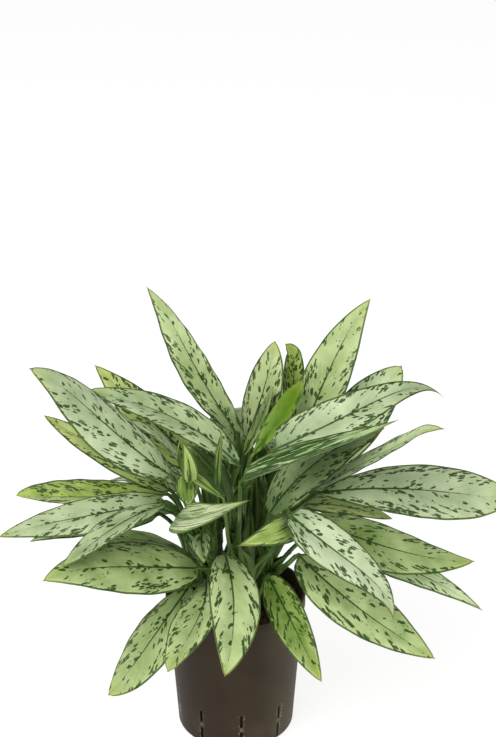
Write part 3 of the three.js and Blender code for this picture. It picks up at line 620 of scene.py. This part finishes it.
def leaf_ground(shader, look, seed, tint, across, along, tipward, share, fan, patches):
    """Two greens in soft patches, with faint stripes between the veins, painted shade at the foot and
    another colour at the tip.
    """
    stripe_place = shader.vector(across * STRETCH.stripes, fan, seed)
    soft = shader.noise(stripe_place, *NOISES.stripes) * SKIN.stripes + patches
    uneven = soft + share.fade(*FADES.pale_middle)
    # The leaf's tint, partly painted light and shade, moves it towards the pale green.
    ground_share = shader.node("ShaderNodeClamp", {"Value": uneven * SKIN.contrast + tint}).outputs[0]
    # The darker green at the blade's foot is painted shade where the leaves crowd together.
    ground = shader.paint(
        look.ground, (ground_share, look.pale), (tipward.fade(*FADES.foot), look.foot),
        (tipward.fade(*FADES.tip, 0, look.tip_share), look.tip))
    if look.green:
        streak_place = shader.vector(across, along * STRETCH.streaks, seed)
        streaks = shader.noise(streak_place, *NOISES.streaks).fade(*FADES.streaks)
        plain = tipward.fade(look.green - SKIN.green_before, look.green + SKIN.green_past, 1, 0)
        ground = shader.paint(ground, (plain * streaks, look.streak))
    return ground


def leaf_material(name, look):
    look = Values(**{**LOOK_DEFAULTS, **look})
    shader = Shader(name)
    across, along, edge = shader.parts("leaf_place")
    tipward, upper, blade = shader.parts("leaf_state")
    seed, tint, sheath = shader.parts("leaf_nature")
    out, share, fan = vein_places(across, along, edge)
    marks = leaf_marks(shader, look, seed, across, along, tipward, out, share, fan)
    place = shader.vector(across, along, seed)
    patches = shader.noise(place, *NOISES.patches)
    ground = leaf_ground(shader, look, seed, tint, across, along, tipward, share, fan, patches)

    # Marks, dark midrib, and a dark margin with a pale line inside it, all with ragged edges.
    ragged = shader.noise(place, *NOISES.ragged)
    rib_end = ragged * SKIN.rib_end_ragged + (tipward + SKIN.rib_end_back)
    rib_inside = tipward.fade(*FADES.rib_width) - (ragged * SKIN.rib_ragged + (out + SKIN.rib_back))
    rib = rib_inside.fade(*FADES.rib_side)
    rib = rib * rib_end.fade(look.rib - SKIN.rib_end, look.rib + SKIN.rib_end, 1, SKIN.rib_faint)
    hem = ragged * SKIN.hem_ragged + edge
    rim_color = shader.paint(look.fleck, (tipward.fade(*FADES.tip), look.rim_tip))
    rim_layer = (hem.fade(*FADES.rim) * (look.hem * SKIN.rim), rim_color)
    rib_layer = (rib * SKIN.rib, look.fleck)
    inner_line = hem.fade(*FADES.inner_line) * blade * look.hem
    top = shader.paint(ground, (inner_line, look.inner_line), (marks * SKIN.marks, look.fleck),
                       rib_layer, rim_layer)

    # The lower face shows the marks through it and a pale rib, or the dark rib where it shows all.
    under_rib = (out.fade(*FADES.under_rib), look.pale) if look.through < 1 else rib_layer
    bottom = shader.paint(
        look.under, (look.through, ground),
        (marks * (SKIN.marks * look.through), look.fleck), under_rib, rim_layer)

    # The petiole is striped lengthwise and runs into the midrib.
    stalk_place = shader.vector(across, along * STRETCH.stalk, seed)
    stripes = shader.noise(stalk_place, *NOISES.stalk).fade(*FADES.stalk)
    stalk = shader.paint(
        look.stalk, (stripes, look.stalk_stripe), (sheath * SKIN.sheath, look.sheath))
    face = shader.paint(bottom, (upper.fade(*FADES.upper), top))
    skin = shader.paint(stalk, (blade.fade(*FADES.blade), face))

    roughness = patches * SKIN.rougher + SKIN.smoothest
    shader.set(Base_Color=skin, Roughness=roughness, Specular_IOR_Level=SKIN.specular)
    veins = (fan * (2 * pi / SKIN.vein_pitch)).calc("SINE")
    relief = veins * SKIN.veins + shader.noise(place, *NOISES.grain)
    shader.bump(relief * blade, SKIN.relief * MM, SKIN.strength)
    return shader.material


# ---- leaf form ----
def blade_share(t, belly):
    """Half width along the midrib as a share of the widest."""
    to_base = LEAF.outline_power * belly
    to_tip = LEAF.outline_power - to_base
    widest = belly ** to_base * (1 - belly) ** to_tip
    return t ** to_base * np.maximum(1 - t, 0) ** to_tip / widest


def chord_frame(leaf):
    chord = np.array(leaf.tip, float) - np.array(leaf.base, float)
    along = unit(chord)
    over = unit(UP - (UP @ along) * along)
    return chord, over, np.cross(along, over)


def midrib(leaf, t):
    chord, over, across = chord_frame(leaf)
    bow = 4 * t * (1 - t)
    rise = leaf.lift * bow + leaf.hook * (t - t ** LEAF.hook_power)
    places = np.array(leaf.base) + np.outer(t, chord) + np.outer(rise, over)
    places += np.outer(leaf.side * bow, across)
    if leaf.name in TIP_BENDS:
        start, end = TIP_BENDS[leaf.name]
        bent = np.clip((t - start) / (1 - start), 0, 1) ** 2
        places += np.outer(bent, end)
    return places


def blade_frame(leaf, t):
    """The blade's own directions: along the midrib, out of the blade and across it."""
    step = 1e-3
    along = unit(midrib(leaf, np.minimum(t + step, 1)) - midrib(leaf, np.maximum(t - step, 0)))
    over = chord_frame(leaf)[1]
    out = unit(over - (along @ over)[:, None] * along)
    across = np.cross(along, out)
    turn = radians(leaf.roll)
    return (along,
            out * cos(turn) + across * sin(turn),
            across * cos(turn) - out * sin(turn))


def petiole_curve(leaf):
    """The petiole's guide points from the cane to the blade, its outward side, and the cane there."""
    (x, y), (lean_x, lean_y), top = CANES[leaf.cane]
    share = max(0.0, (leaf.foot - SUBSTRATE.top) / (top - SUBSTRATE.top))
    axis = np.array([mix(x, lean_x, share), mix(y, lean_y, share), leaf.foot])
    stem = unit(np.array([lean_x - x, lean_y - y, top - SUBSTRATE.top], float))
    base = np.array(leaf.base, float)
    turn = atan2(base[1] - axis[1], base[0] - axis[0]) + radians(leaf.swing)
    level = np.array([cos(turn), sin(turn), 0.0])
    outward = unit(level - (level @ stem) * stem)
    foot = axis + outward * (CANE.radius + LEAF.cane_gap)
    reach = np.linalg.norm(base - foot)
    rise = outward * LEAF.foot_outward + UP * LEAF.foot_upward
    along = blade_frame(leaf, np.array([0.0]))[0][0]
    neck = unit(along * LEAF.neck_along + UP * LEAF.neck_upward + np.array(leaf.bend))
    guides = (foot, foot + rise * LEAF.petiole_bow * reach, base - neck * LEAF.petiole_neck * reach, base)
    return guides, outward, axis, stem


def bezier(guides, t):
    a, b, c, d = guides
    t = np.asarray(t)[:, None]
    u = 1 - t
    place = a * u ** 3 + b * 3 * u * u * t + c * 3 * u * t * t + d * t ** 3
    slope = (b - a) * 3 * u * u + (c - b) * 6 * u * t + (d - c) * 3 * t * t
    return place, unit(slope)


def petiole_radius(leaf, t):
    thin = LEAF.petiole_radius + LEAF.petiole_radius_per_width * leaf.width
    return thin * mix(LEAF.petiole_widen, 1.0, t)


def stalk_ring(centre, out, across, radius):
    """A round section with a shallow groove on its upper side, in the blade ring's order of points."""
    apart = PETIOLE.seam_turn
    half_turn = apart + (1 - COLUMNS) / 2 * (pi - 2 * apart)
    turn = np.concatenate([half_turn, -half_turn[::-1]])
    off_top = (turn - pi / 2) / PETIOLE.groove_width
    size = radius * (1 - PETIOLE.groove * np.exp(-off_top ** 2))
    return centre + np.outer(size * np.cos(turn), across) + np.outer(size * np.sin(turn), out)


def carried_frames(slopes, out):
    """Carries a direction down a row of slopes, starting from the last, without twist."""
    frames = []
    for slope in slopes[::-1]:
        out = unit(out - (out @ slope) * slope)
        frames.append((out, np.cross(slope, out)))
    return frames[::-1]


def section_notes(offset, along, edge, tipward=0.0, upper=1.0, blade=0.0, sheath=0.0):
    """What the material reads at a section's points: place on the leaf, state, and share of sheath."""
    return columns(offset, along, edge, tipward, upper, blade, sheath)


def petiole_rings(leaf):
    """The petiole's sections and their notes."""
    t = np.linspace(0, 1, PETIOLE.steps + 1)
    places, slopes = bezier(petiole_curve(leaf)[0], t)
    places[0] -= slopes[0] * PETIOLE.sunk
    frames = carried_frames(slopes, blade_frame(leaf, np.array([0.0]))[1][0])
    length = steps_along(places)
    rings = []
    notes = []
    for k, share in enumerate(t[:-1]):
        radius = petiole_radius(leaf, share)
        rings.append(stalk_ring(places[k], *frames[k], radius))
        around = there_and_back(COLUMNS) * radius * 2
        notes.append(section_notes(around, length[k] - length[-1], NO_EDGE, upper=UPPER))
    return rings, notes


def blade_rise(leaf, s):
    """Height of the folded and cupped blade at s, as a share of its half width."""
    rounded = np.sqrt(s * s + BLADE.fold_round ** 2) - BLADE.fold_round
    fold = radians(leaf.fold)
    return (tan(fold) * rounded - LEAF.cup * s * s) * cos(fold)


def blade_half_width(leaf, t):
    """The outline's half width, never under a thin ribbon, and rounded to a point at the tip."""
    ribbon = LEAF.tip_half_width * smooth(t / BLADE.first_growth)
    half = np.maximum(blade_share(t, leaf.belly) * leaf.width / 2, ribbon)
    point = np.maximum(half * smooth((BLADE.tip_end - t) / BLADE.tip_length), BLADE.tip_point)
    return np.where(t > BLADE.tip_start, point, half)


def blade_relief(t, lengths, half, x, waves):
    """The waves of the margins and the quilting between the veins."""
    out = np.abs(COLUMNS)
    ends = smooth(t / BLADE.calm[0]) * smooth((1 - t) / BLADE.calm[1])
    wave_turn = 2 * pi * lengths / BLADE.wave_length
    left = np.sin(wave_turn * waves[0] + waves[2])
    right = np.sin(wave_turn * waves[1] + waves[3])
    wave = np.where(COLUMNS < 0, left[:, None], right[:, None]) * COLUMNS ** 4
    wave *= (BLADE.wave_height * ends * np.minimum(half / BLADE.full_wave, 1))[:, None]
    fan = lengths[:, None] - np.abs(x) * (VEIN_SLOPE + VEIN_BEND * out)
    quilt = np.cos(2 * pi * fan / BLADE.quilt_pitch) * (4 * out * (1 - out))
    return wave + quilt * (BLADE.quilt_height * ends)[:, None]


def blade_points(leaf, t, waves):
    """Upper and lower points of the blade at stations t, and their places on it in millimetres."""
    places = midrib(leaf, t)
    along, out, across = blade_frame(leaf, t)
    lengths = steps_along(places)
    half = blade_half_width(leaf, t)
    x = np.outer(half, COLUMNS)
    middle = np.outer(half, blade_rise(leaf, COLUMNS)) + blade_relief(t, lengths, half, x, waves)
    thickness = mix(BLADE.mid_thickness, BLADE.edge_thickness, np.abs(COLUMNS)) / 2
    rib_share = (np.minimum(1, half / BLADE.full_rib) * (1 - t))[:, None]
    rib = BLADE.rib_depth * rib_share * np.exp(-(x / BLADE.rib_half_width) ** 2)
    groove = BLADE.groove_depth * rib_share * np.exp(-(x / BLADE.groove_half_width) ** 2)
    flat = places[:, None, :] + across[:, None, :] * (x * cos(radians(leaf.fold)))[:, :, None]
    upper = flat + out[:, None, :] * (middle + thickness - groove)[:, :, None]
    lower = flat + out[:, None, :] * (middle - thickness - rib)[:, :, None]
    return upper, lower, x, lengths, half


def blade_rings(leaf, waves):
    """The blade's sections and their notes. The first ones grow out of the round petiole."""
    t = np.linspace(0, 1, BLADE.stations) ** BLADE.crowding
    upper, lower, x, lengths, half = blade_points(leaf, t, waves)
    radius = petiole_radius(leaf, 1.0)
    grown = smooth(t / BLADE.neck_share)
    centres = midrib(leaf, t)
    _, out, across = blade_frame(leaf, t)
    rings = []
    notes = []
    for k, share in enumerate(grown):
        ring = np.concatenate([upper[k], lower[k][::-1]])
        if share < 1:
            ring = mix(stalk_ring(centres[k], out[k], across[k], radius), ring, share)
        rings.append(ring)
        offset = there_and_back(x[k])
        edge = half[k] - np.abs(offset) + NO_EDGE * (1 - share)
        notes.append(section_notes(offset, lengths[k], edge, t[k], UPPER, share))
    return rings, notes


def sheath_rings(leaf):
    """The petiole's clasping foot: wraps the cane and narrows into wings along the stalk."""
    guides, outward, axis, stem = petiole_curve(leaf)
    length = steps_along(bezier(guides, np.linspace(0, 1, SHEATH.samples))[0])[-1]
    reach = min(SHEATH.longest, SHEATH.share * length)
    turns = np.linspace(-1, 1, SHEATH.arc_steps + 1)
    body = mix(SHEATH.thickness, SHEATH.edge, turns ** 2)
    paleness = mix(SHEATH.faintest, 1.0, there_and_back(np.abs(turns)))
    rings = []
    notes = []
    for distance in np.linspace(-SHEATH.below, reach, SHEATH.steps + 1):
        above = max(distance, 0.0)
        (stalk,), (slope,) = bezier(guides, [above / length])
        if distance < 0:
            stalk = stalk + stem * distance
            slope = stem
        away = float(smooth(above / reach))
        centre = mix(axis + stem * distance, stalk, away)
        direction = unit(mix(stem, slope, away))
        out = unit(outward - (outward @ direction) * direction)
        side = np.cross(direction, out)
        on_cane = CANE.radius + SHEATH.off_cane
        radius = mix(on_cane, petiole_radius(leaf, above / length) + SHEATH.off_stalk, away)
        under = min(1, -min(distance, 0) / SHEATH.below)
        widest = mix(mix(SHEATH.wrap, SHEATH.wrap_below, under), SHEATH.wing, away)
        angle = turns * radians(widest)
        directions = np.outer(np.cos(angle), out) + np.outer(np.sin(angle), side)
        outer = centre + directions * (radius + body / 2)[:, None]
        inner = centre + directions * (radius - body / 2)[:, None]
        rings.append(np.concatenate([outer, inner[::-1]]))
        arc = there_and_back(angle * radius)
        notes.append(section_notes(arc, distance - length, NO_EDGE, sheath=paleness))
    return rings, notes


def make_leaf(leaf, materials, random, *nodes):
    """A fine leaf, which stands for the named CAD nodes."""
    waves = (*random.uniform(*WAVE_PACES, 2), *random.uniform(0, 2 * pi, 2))
    seed = random.uniform(0, LARGEST_SEED)
    stalk, stalk_notes = petiole_rings(leaf)
    blade, blade_notes = blade_rings(leaf, waves)
    sheath, sheath_notes = sheath_rings(leaf)
    points, faces = join_parts([loft(stalk + blade), loft(sheath)])
    piece = make_piece(leaf.name + "_fine", points, faces, materials[leaf.look], "leaf", *nodes)
    notes = np.concatenate(stalk_notes + blade_notes + sheath_notes).T
    write_attribute(piece.data, "leaf_place", *notes[:3])
    write_attribute(piece.data, "leaf_state", *notes[3:6])
    write_attribute(piece.data, "leaf_nature", seed, leaf.tint, notes[6])


# ---- canes ----
# Rings of scars on a slim, slightly oval stem that narrows at its end, and its colours.
STEM = Values(
    rings=150, sides=40, scar_pitch=11, scar_height=1.1, narrow_from=4, narrow_more=6, end_radius=1.0,
    slim=0.95, ridge=0.07, oval=0.025, oval_pitch=9, blotches=(160, 3.0, 0.6), grain=(900, 2.0, 0.6),
    dark=(44, 62, 22), light=(78, 98, 44), light_fade=(0.35, 0.65), scar=(104, 104, 62), scar_share=0.75,
    young=(90, 122, 44), dirt=(34, 42, 18), dirt_fade=(0.6, 0.75, 0, 0.4), smoothest=0.42, rougher=0.25,
)


def cane_scars(name):
    """Heights of the leaf scars: one under each leaf's foot, and a row of older ones below them."""
    feet = sorted(leaf.foot - SHEATH.below for leaf in LEAVES if leaf.cane == name)
    older = np.arange(feet[0] - STEM.scar_pitch, CANE.foot, -STEM.scar_pitch)
    return np.concatenate([older, feet])


def make_cane(name, material):
    (x, y), (lean_x, lean_y), top = CANES[name]
    heights = np.linspace(CANE.foot, top + CANE.tip_length, STEM.rings)
    share = np.maximum(heights - SUBSTRATE.top, 0) / (top - SUBSTRATE.top)
    from_scar = (heights[:, None] - cane_scars(name)) / STEM.scar_height
    ridge = np.exp(-from_scar ** 2).max(1)
    narrow_length = CANE.tip_length + STEM.narrow_more
    narrow = smooth((heights - top + STEM.narrow_from) / narrow_length)
    radius = mix(CANE.radius, STEM.end_radius, narrow)
    radius *= STEM.slim + STEM.ridge * ridge
    turn, round_points = circle(STEM.sides)
    rings = []
    for k, height in enumerate(heights):
        centre = np.array([mix(x, lean_x, share[k]), mix(y, lean_y, share[k]), height])
        uneven = 1 + STEM.oval * np.sin(2 * turn + height / STEM.oval_pitch)
        rings.append(centre + round_points * (radius[k] * uneven)[:, None])
    points, faces = loft(rings)
    piece = make_piece(f"cane_{name}_fine", points, faces, material, "cane", f"cane_{name}")
    write_attribute(piece.data, "cane_state", *np.repeat([ridge, narrow], len(turn), axis=1), 0.0)


def cane_material():
    shader = Shader("cane_skin")
    scar, young, _ = shader.parts("cane_state")
    place = shader.object_place()
    blotches = shader.noise(place, *STEM.blotches)
    fine = shader.noise(place, *STEM.grain)
    skin = shader.paint(
        STEM.dark, (blotches.fade(*STEM.light_fade), STEM.light), (scar * STEM.scar_share, STEM.scar),
        (young, STEM.young), (fine.fade(*STEM.dirt_fade), STEM.dirt))
    roughness = blotches * STEM.rougher + STEM.smoothest
    shader.set(Base_Color=skin, Roughness=roughness, Specular_IOR_Level=0.4)
    shader.bump(fine * 0.5 + blotches, 0.6 * MM, 0.6)
    return shader.material


# ---- clay granulate ----
# clear is how far a granule keeps from a cane, crowd how near two stand, both as a
# share of their sizes. thin and thick are the least and largest shares of a
# granule's three widths, and lifted how much of its height over the bed it may take.
GRANULES = Values(
    tries=5200, smallest=3.6, largest=7.4, bed_drop=5.0, bed_sides=96, bed_tint=0.35,
    clear=0.8, crowd=0.86, sink=0.25, lifted=(0.4, 1.0), subdivisions=2,
    lump=0.22, lump_scale=1.3, lump_seed=90, thin=(0.85, 0.8, 0.72), thick=(1.05, 1.0, 0.95),
    full_turn=6.28, tilt=0.5, sharp_angle=50,
)
# The granules' own browns, darkened further as painted shade inside the pot.
CLAY = Values(
    pores=(1500, 3.0, 0.7), cloud=(220, 2.0, 0.5), dark=(58, 40, 28), light=(92, 64, 45),
    damp=(46, 36, 28), damp_fade=(0.45, 0.7, 0, 0.5), dust=(128, 100, 78), dust_fade=(0.6, 0.8, 0, 0.4),
)


def inner_radius(height):
    """Radius of the pot's inner wall."""
    return mix(POT.inner_floor_radius, POT.inner_top_radius,
               (height - POT.floor) / (POT.height - POT.floor))


def lathe(profile, sides):
    """A closed body turned from (radius, height) points that start and end on the axis."""
    round_points = circle(sides)[1]
    rings = [round_points * radius + UP * height for radius, height in profile[1:-1]]
    points = np.concatenate([*rings, [UP * profile[0][1]], [UP * profile[-1][1]]])
    faces = grid_faces(len(rings), sides)
    low = len(rings) * sides
    last = low - sides
    for side in range(sides):
        after = (side + 1) % sides
        faces.append((low, after, side))
        faces.append((low + 1, last + side, last + after))
    return points, faces


def granule_centres(random):
    """Seeded places and sizes on the top of the granulate, clear of the canes and of each other."""
    outer = inner_radius(SUBSTRATE.top) - SUBSTRATE.gap
    chosen = []
    canes = np.array([place for place, _, _ in CANES.values()], float)
    for _ in range(GRANULES.tries):
        size = random.uniform(GRANULES.smallest, GRANULES.largest)
        turn = random.uniform(0, 2 * pi)
        radius = (outer - size) * sqrt(random.uniform(0, 1))
        spot = np.array([radius * cos(turn), radius * sin(turn)])
        to_cane = np.linalg.norm(canes - spot, axis=1).min()
        if to_cane < CANE.radius + size * GRANULES.clear:
            continue
        if all(np.linalg.norm(spot - other) > (size + width) * GRANULES.crowd for other, width in chosen):
            chosen.append((spot, size))
    return chosen


def rotation(angle, axis):
    return np.array(Matrix.Rotation(angle, 3, axis))


def bmesh_arrays(make, **settings):
    """Points and faces of one of Blender's own basic bodies."""
    body = bmesh.new()
    make(body, **settings)
    points = np.array([v.co for v in body.verts])
    faces = [tuple(v.index for v in face.verts) for face in body.faces]
    body.free()
    return points, faces


def make_granulate(material, random):
    floor = POT.floor + SUBSTRATE.gap
    bed_top = SUBSTRATE.top - GRANULES.bed_drop
    walls = [(inner_radius(height) - SUBSTRATE.gap, height) for height in (floor, bed_top)]
    parts = [lathe([(0, floor), *walls, (0, bed_top)], GRANULES.bed_sides)]
    tints = [np.full(len(parts[0][0]), GRANULES.bed_tint)]
    ball_points, ball_faces = bmesh_arrays(
        bmesh.ops.create_icosphere, subdivisions=GRANULES.subdivisions, radius=1.0)
    for spot, size in granule_centres(random):
        offset = Vector(random.uniform(0, GRANULES.lump_seed, 3))
        lumps = np.array([noise.noise(Vector(p) * GRANULES.lump_scale + offset) for p in ball_points])
        shape = random.uniform(GRANULES.thin, GRANULES.thick)
        turn = rotation(random.uniform(0, GRANULES.full_turn), "Z")
        turn = turn @ rotation(random.uniform(-GRANULES.tilt, GRANULES.tilt), "X")
        height = bed_top + size * (1 - 2 * GRANULES.sink) * random.uniform(*GRANULES.lifted)
        lumpy = ball_points * (1 + GRANULES.lump * lumps)[:, None]
        parts.append(((lumpy * shape * size) @ turn.T + [*spot, height], ball_faces))
        tints.append(np.full(len(ball_points), random.uniform(0, 1)))
    points, faces = join_parts(parts)
    piece = make_piece("clay_granulate_fine", points, faces, material, "clay", "clay_granulate",
                       sharp_angle=GRANULES.sharp_angle)
    write_attribute(piece.data, "grain", np.concatenate(tints), 0.0, 0.0)


def clay_material():
    shader = Shader("fired_clay")
    tint = shader.parts("grain")[0]
    place = shader.object_place()
    pores = shader.noise(place, *CLAY.pores)
    damp = shader.noise(place, *CLAY.cloud).fade(*CLAY.damp_fade)
    body = shader.paint(CLAY.dark, (tint, CLAY.light), (damp, CLAY.damp),
                        (pores.fade(*CLAY.dust_fade), CLAY.dust))
    shader.set(Base_Color=body, Roughness=0.95, Specular_IOR_Level=0.25)
    shader.bump(pores, 0.8 * MM, 0.7)
    return shader.material


# ---- pot ----
def pot_profile():
    """Radius and height round the pot's wall, from the middle of its base to that of its inner floor."""
    rim, height, small, corner = POT.rim_radius, POT.height, POT.edge_round, POT.corner_radius
    shoulder = height - POT.rim_height
    profile = [(0, 0)]
    for turn in np.radians(np.linspace(-90, 0, POT.corner_steps)):
        profile.append((POT.base_radius - corner + corner * cos(turn), corner + corner * sin(turn)))
    for share in np.linspace(POT.wall_start, 1, POT.wall_steps):
        profile.append((mix(POT.base_radius, POT.wall_top_radius, share), mix(corner, shoulder, share)))
    profile += [(rim - small * inward, shoulder + small * up) for inward, up in POT.bevel]
    profile += [(rim - small * inward, height - small * down) for inward, down in POT.bevel[::-1]]
    profile += [(POT.inner_top_radius + small / 2, height), (POT.inner_top_radius, height - small / 2)]
    return profile + [(POT.inner_floor_radius, POT.floor), (0, POT.floor)]


def slot_cutters():
    """Upright boxes for each slot's open parts, turned round the pot."""
    parts = []
    cube, faces = bmesh_arrays(bmesh.ops.create_cube, size=1.0)
    for number in range(SLOTS.count):
        turn = rotation(radians(SLOTS.first_turn + number * SLOTS.pitch), "Z")
        for low, high in ((FLASH[1], SLOTS.upper[1]), SLOTS.lower):
            box = cube * (SLOTS.depth, SLOTS.width, high - low)
            parts.append(((box + (POT.base_radius, 0, (low + high) / 2)) @ turn.T, faces))
    return add_object("slot_cutters", make_mesh("slot_cutters", *join_parts(parts)))


def make_pot(material):
    points, faces = lathe(pot_profile(), POT.sides)
    piece = make_piece("pot_fine", points, faces, material, "pot_plastic", "pot")
    cutters = slot_cutters()
    cut = piece.modifiers.new("slots", "BOOLEAN")
    cut.operation = "DIFFERENCE"
    cut.solver = "EXACT"
    cut.object = cutters
    bpy.context.view_layer.update()
    cut_mesh = bpy.data.meshes.new_from_object(piece.evaluated_get(bpy.context.evaluated_depsgraph_get()))
    piece.modifiers.clear()
    piece.data = cut_mesh
    cut_mesh.set_sharp_from_angle(angle=radians(POT.sharp_angle))
    bpy.data.objects.remove(cutters)


# Colours and noise of the pot, and the distances in millimetres between which its marks
# fade: from a slot's middle, from the pot's middle plane, or up from the floor. Painted
# light and shade are among them: a paler sheen on the right side, shade on the left side,
# whiter scuffs on the flanks as a glint, and near-black shade in and round the slots.
MARKS = Values(
    brown=(49, 38, 24), pale_brown=(57, 45, 31), brown_fade=(0.3, 0.7), cloud=(14, 3.0, 0.55),
    grain=(900, 2.0, 0.6), smoothest=0.44, rougher=0.2,
    chips=(420, 3.0, 0.65), chip_fade=(0.5, 0.62), flank=(50, 66), flank_wider=-0.55,
    # The whiter scuffs on the flanks are a painted glint; the near-black at the slots is painted shade.
    beside=(3.0, 4.8, 1, 0), around=(4, 5), scuff=(150, 136, 116), flank_scuff=(206, 202, 194),
    scuffed=0.55, flank_scuffed=0.4, burr=(12, 6, 3), burr_fade=(1.9, 2.7, 1, 0),
    flash=(126, 108, 84), flash_fade=(1.6, 2.4, 0.7, 0), flash_around=(1, 1.5),
    # Next: the pale olive of the painted sheen on the right side, and the dark brown of the painted shade
    # on the left side.
    film=(84, 78, 58), film_fade=(25, 70, 0, 0.55), film_patches=(0.3, 0.6, 0.45, 0.9),
    shade=(38, 28, 20), shade_fade=(-80, 0, 0.45, 0),
    dust=(112, 100, 90), dust_fade=(0, 60, 1, 0), dust_patches=(0.45, 0.7, 0, 0.25),
)


def slot_layers(shader, place, x, y, z):
    """Pale scuffs that turn into a whiter painted glint on the flanks, painted shade in and round each
    slot, and the flash, found by the turn to the nearest slot.
    """
    pitch = radians(SLOTS.pitch)
    slots_away = (y.calc("ARCTAN2", x) - radians(SLOTS.first_turn)) / pitch
    sideways = abs(slots_away - slots_away.calc("ROUND")) * (pitch * POT.base_radius)
    upright = z.band(SLOTS.lower[0], SLOTS.upper[1], *MARKS.around)
    flank = abs(x).fade(*MARKS.flank)
    beside = (sideways * (flank * MARKS.flank_wider + 1.0)).fade(*MARKS.beside)
    chips = shader.noise(place, *MARKS.chips).fade(*MARKS.chip_fade)
    # Pale scuffs beside the slots; on the flanks they grow wider, stronger and whiter as a painted glint.
    scuffed = beside * upright * chips * (flank * MARKS.flank_scuffed + MARKS.scuffed)
    flash = z.band(*FLASH, *MARKS.flash_around) * sideways.fade(*MARKS.flash_fade)
    return ((scuffed, shader.paint(MARKS.scuff, (flank, MARKS.flank_scuff))),
            # The near-black in and round each slot is painted shade.
            (sideways.fade(*MARKS.burr_fade) * upright, MARKS.burr), (flash, MARKS.flash))


def pot_material():
    """Brown plastic with marks at the slots, a painted sheen on one side, painted shade on the other side
    and dust below.
    """
    shader = Shader("pot_plastic_dark_brown")
    place = shader.object_place()
    x, y, z = (number / MM for number in shader.split(place))
    cloud = shader.noise(place, *MARKS.cloud)
    # The paler olive patches on the right side are a painted sheen.
    film = x.fade(*MARKS.film_fade) * cloud.fade(*MARKS.film_patches)
    dust = z.fade(*MARKS.dust_fade) * cloud.fade(*MARKS.dust_patches)
    body = shader.paint(
        MARKS.brown, (cloud.fade(*MARKS.brown_fade), MARKS.pale_brown),
        *slot_layers(shader, place, x, y, z),
        # The paler right side is a painted sheen and the darker left side painted shade.
        (film, MARKS.film), (x.fade(*MARKS.shade_fade), MARKS.shade), (dust, MARKS.dust))
    roughness = cloud * MARKS.rougher + MARKS.smoothest
    shader.set(Base_Color=body, Roughness=roughness, Specular_IOR_Level=0.15)
    shader.bump(shader.noise(place, *MARKS.grain), 0.2 * MM, 0.35)
    return shader.material


# ---- camera, floor and light ----
def make_camera():
    data = bpy.data.cameras.new("photo_camera")
    data.sensor_fit = "VERTICAL"
    data.sensor_height = CAMERA_SENSOR_MM
    data.lens = CAMERA_FOCUS_PIXELS / IMAGE_HEIGHT * CAMERA_SENSOR_MM
    data.clip_end = CAMERA_SEES_TO * MM
    camera = add_object("photo_camera", data)
    camera.location = Vector(CAMERA_PLACE) * MM
    camera.rotation_euler = (radians(90 - CAMERA_PITCH_DOWN), 0, 0)
    bpy.context.scene.camera = camera


def make_stage():
    shader = Shader("studio_floor")
    grey = FLOOR.grey
    shader.set(Base_Color=(grey, grey, grey, 1), Roughness=0.9, Specular_IOR_Level=0.1,
               Emission_Color=(1, 1, 1, 1), Emission_Strength=FLOOR.glow)
    side = FLOOR.half_side
    corners = [(-side, -side, 0), (side, -side, 0), (side, side, 0), (-side, side, 0)]
    floor = add_object("studio_floor", make_mesh("studio_floor", corners, [(0, 1, 2, 3)]))
    floor.data.materials.append(shader.material)


def make_light():
    scene = bpy.context.scene
    scene.world = bpy.data.worlds.new("studio")
    scene.world.use_nodes = True
    sky = scene.world.node_tree.nodes["Background"].inputs
    sky["Color"].default_value = (1, 1, 1, 1)
    sky["Strength"].default_value = SKY_STRENGTH
    for name, (place, size, power, color) in LIGHTS.items():
        data = bpy.data.lights.new(name, "AREA")
        data.shape = "DISK"
        data.size = size
        data.energy = power
        data.color = color
        light = add_object(name, data)
        light.location = place
        light.rotation_euler = (Vector(LIT_PLACE) - Vector(place)).to_track_quat("-Z", "Y").to_euler()
    scene.view_settings.view_transform = "Standard"
    scene.view_settings.look = "None"


# ---- the part ----
make_camera()
make_stage()
make_light()

random = np.random.default_rng(SEED)
make_pot(pot_material())
make_granulate(clay_material(), random)
cane_skin = cane_material()
for cane_name in CANES:
    make_cane(cane_name, cane_skin)
leaf_materials = {look: leaf_material(f"leaf_{look}", LOOKS[look]) for look in LOOKS}
for leaf_row in LEAVES:
    make_leaf(leaf_row, leaf_materials, random, leaf_row.name)
for leaf_row in INNER_LEAVES:
    make_leaf(leaf_row, leaf_materials, random)
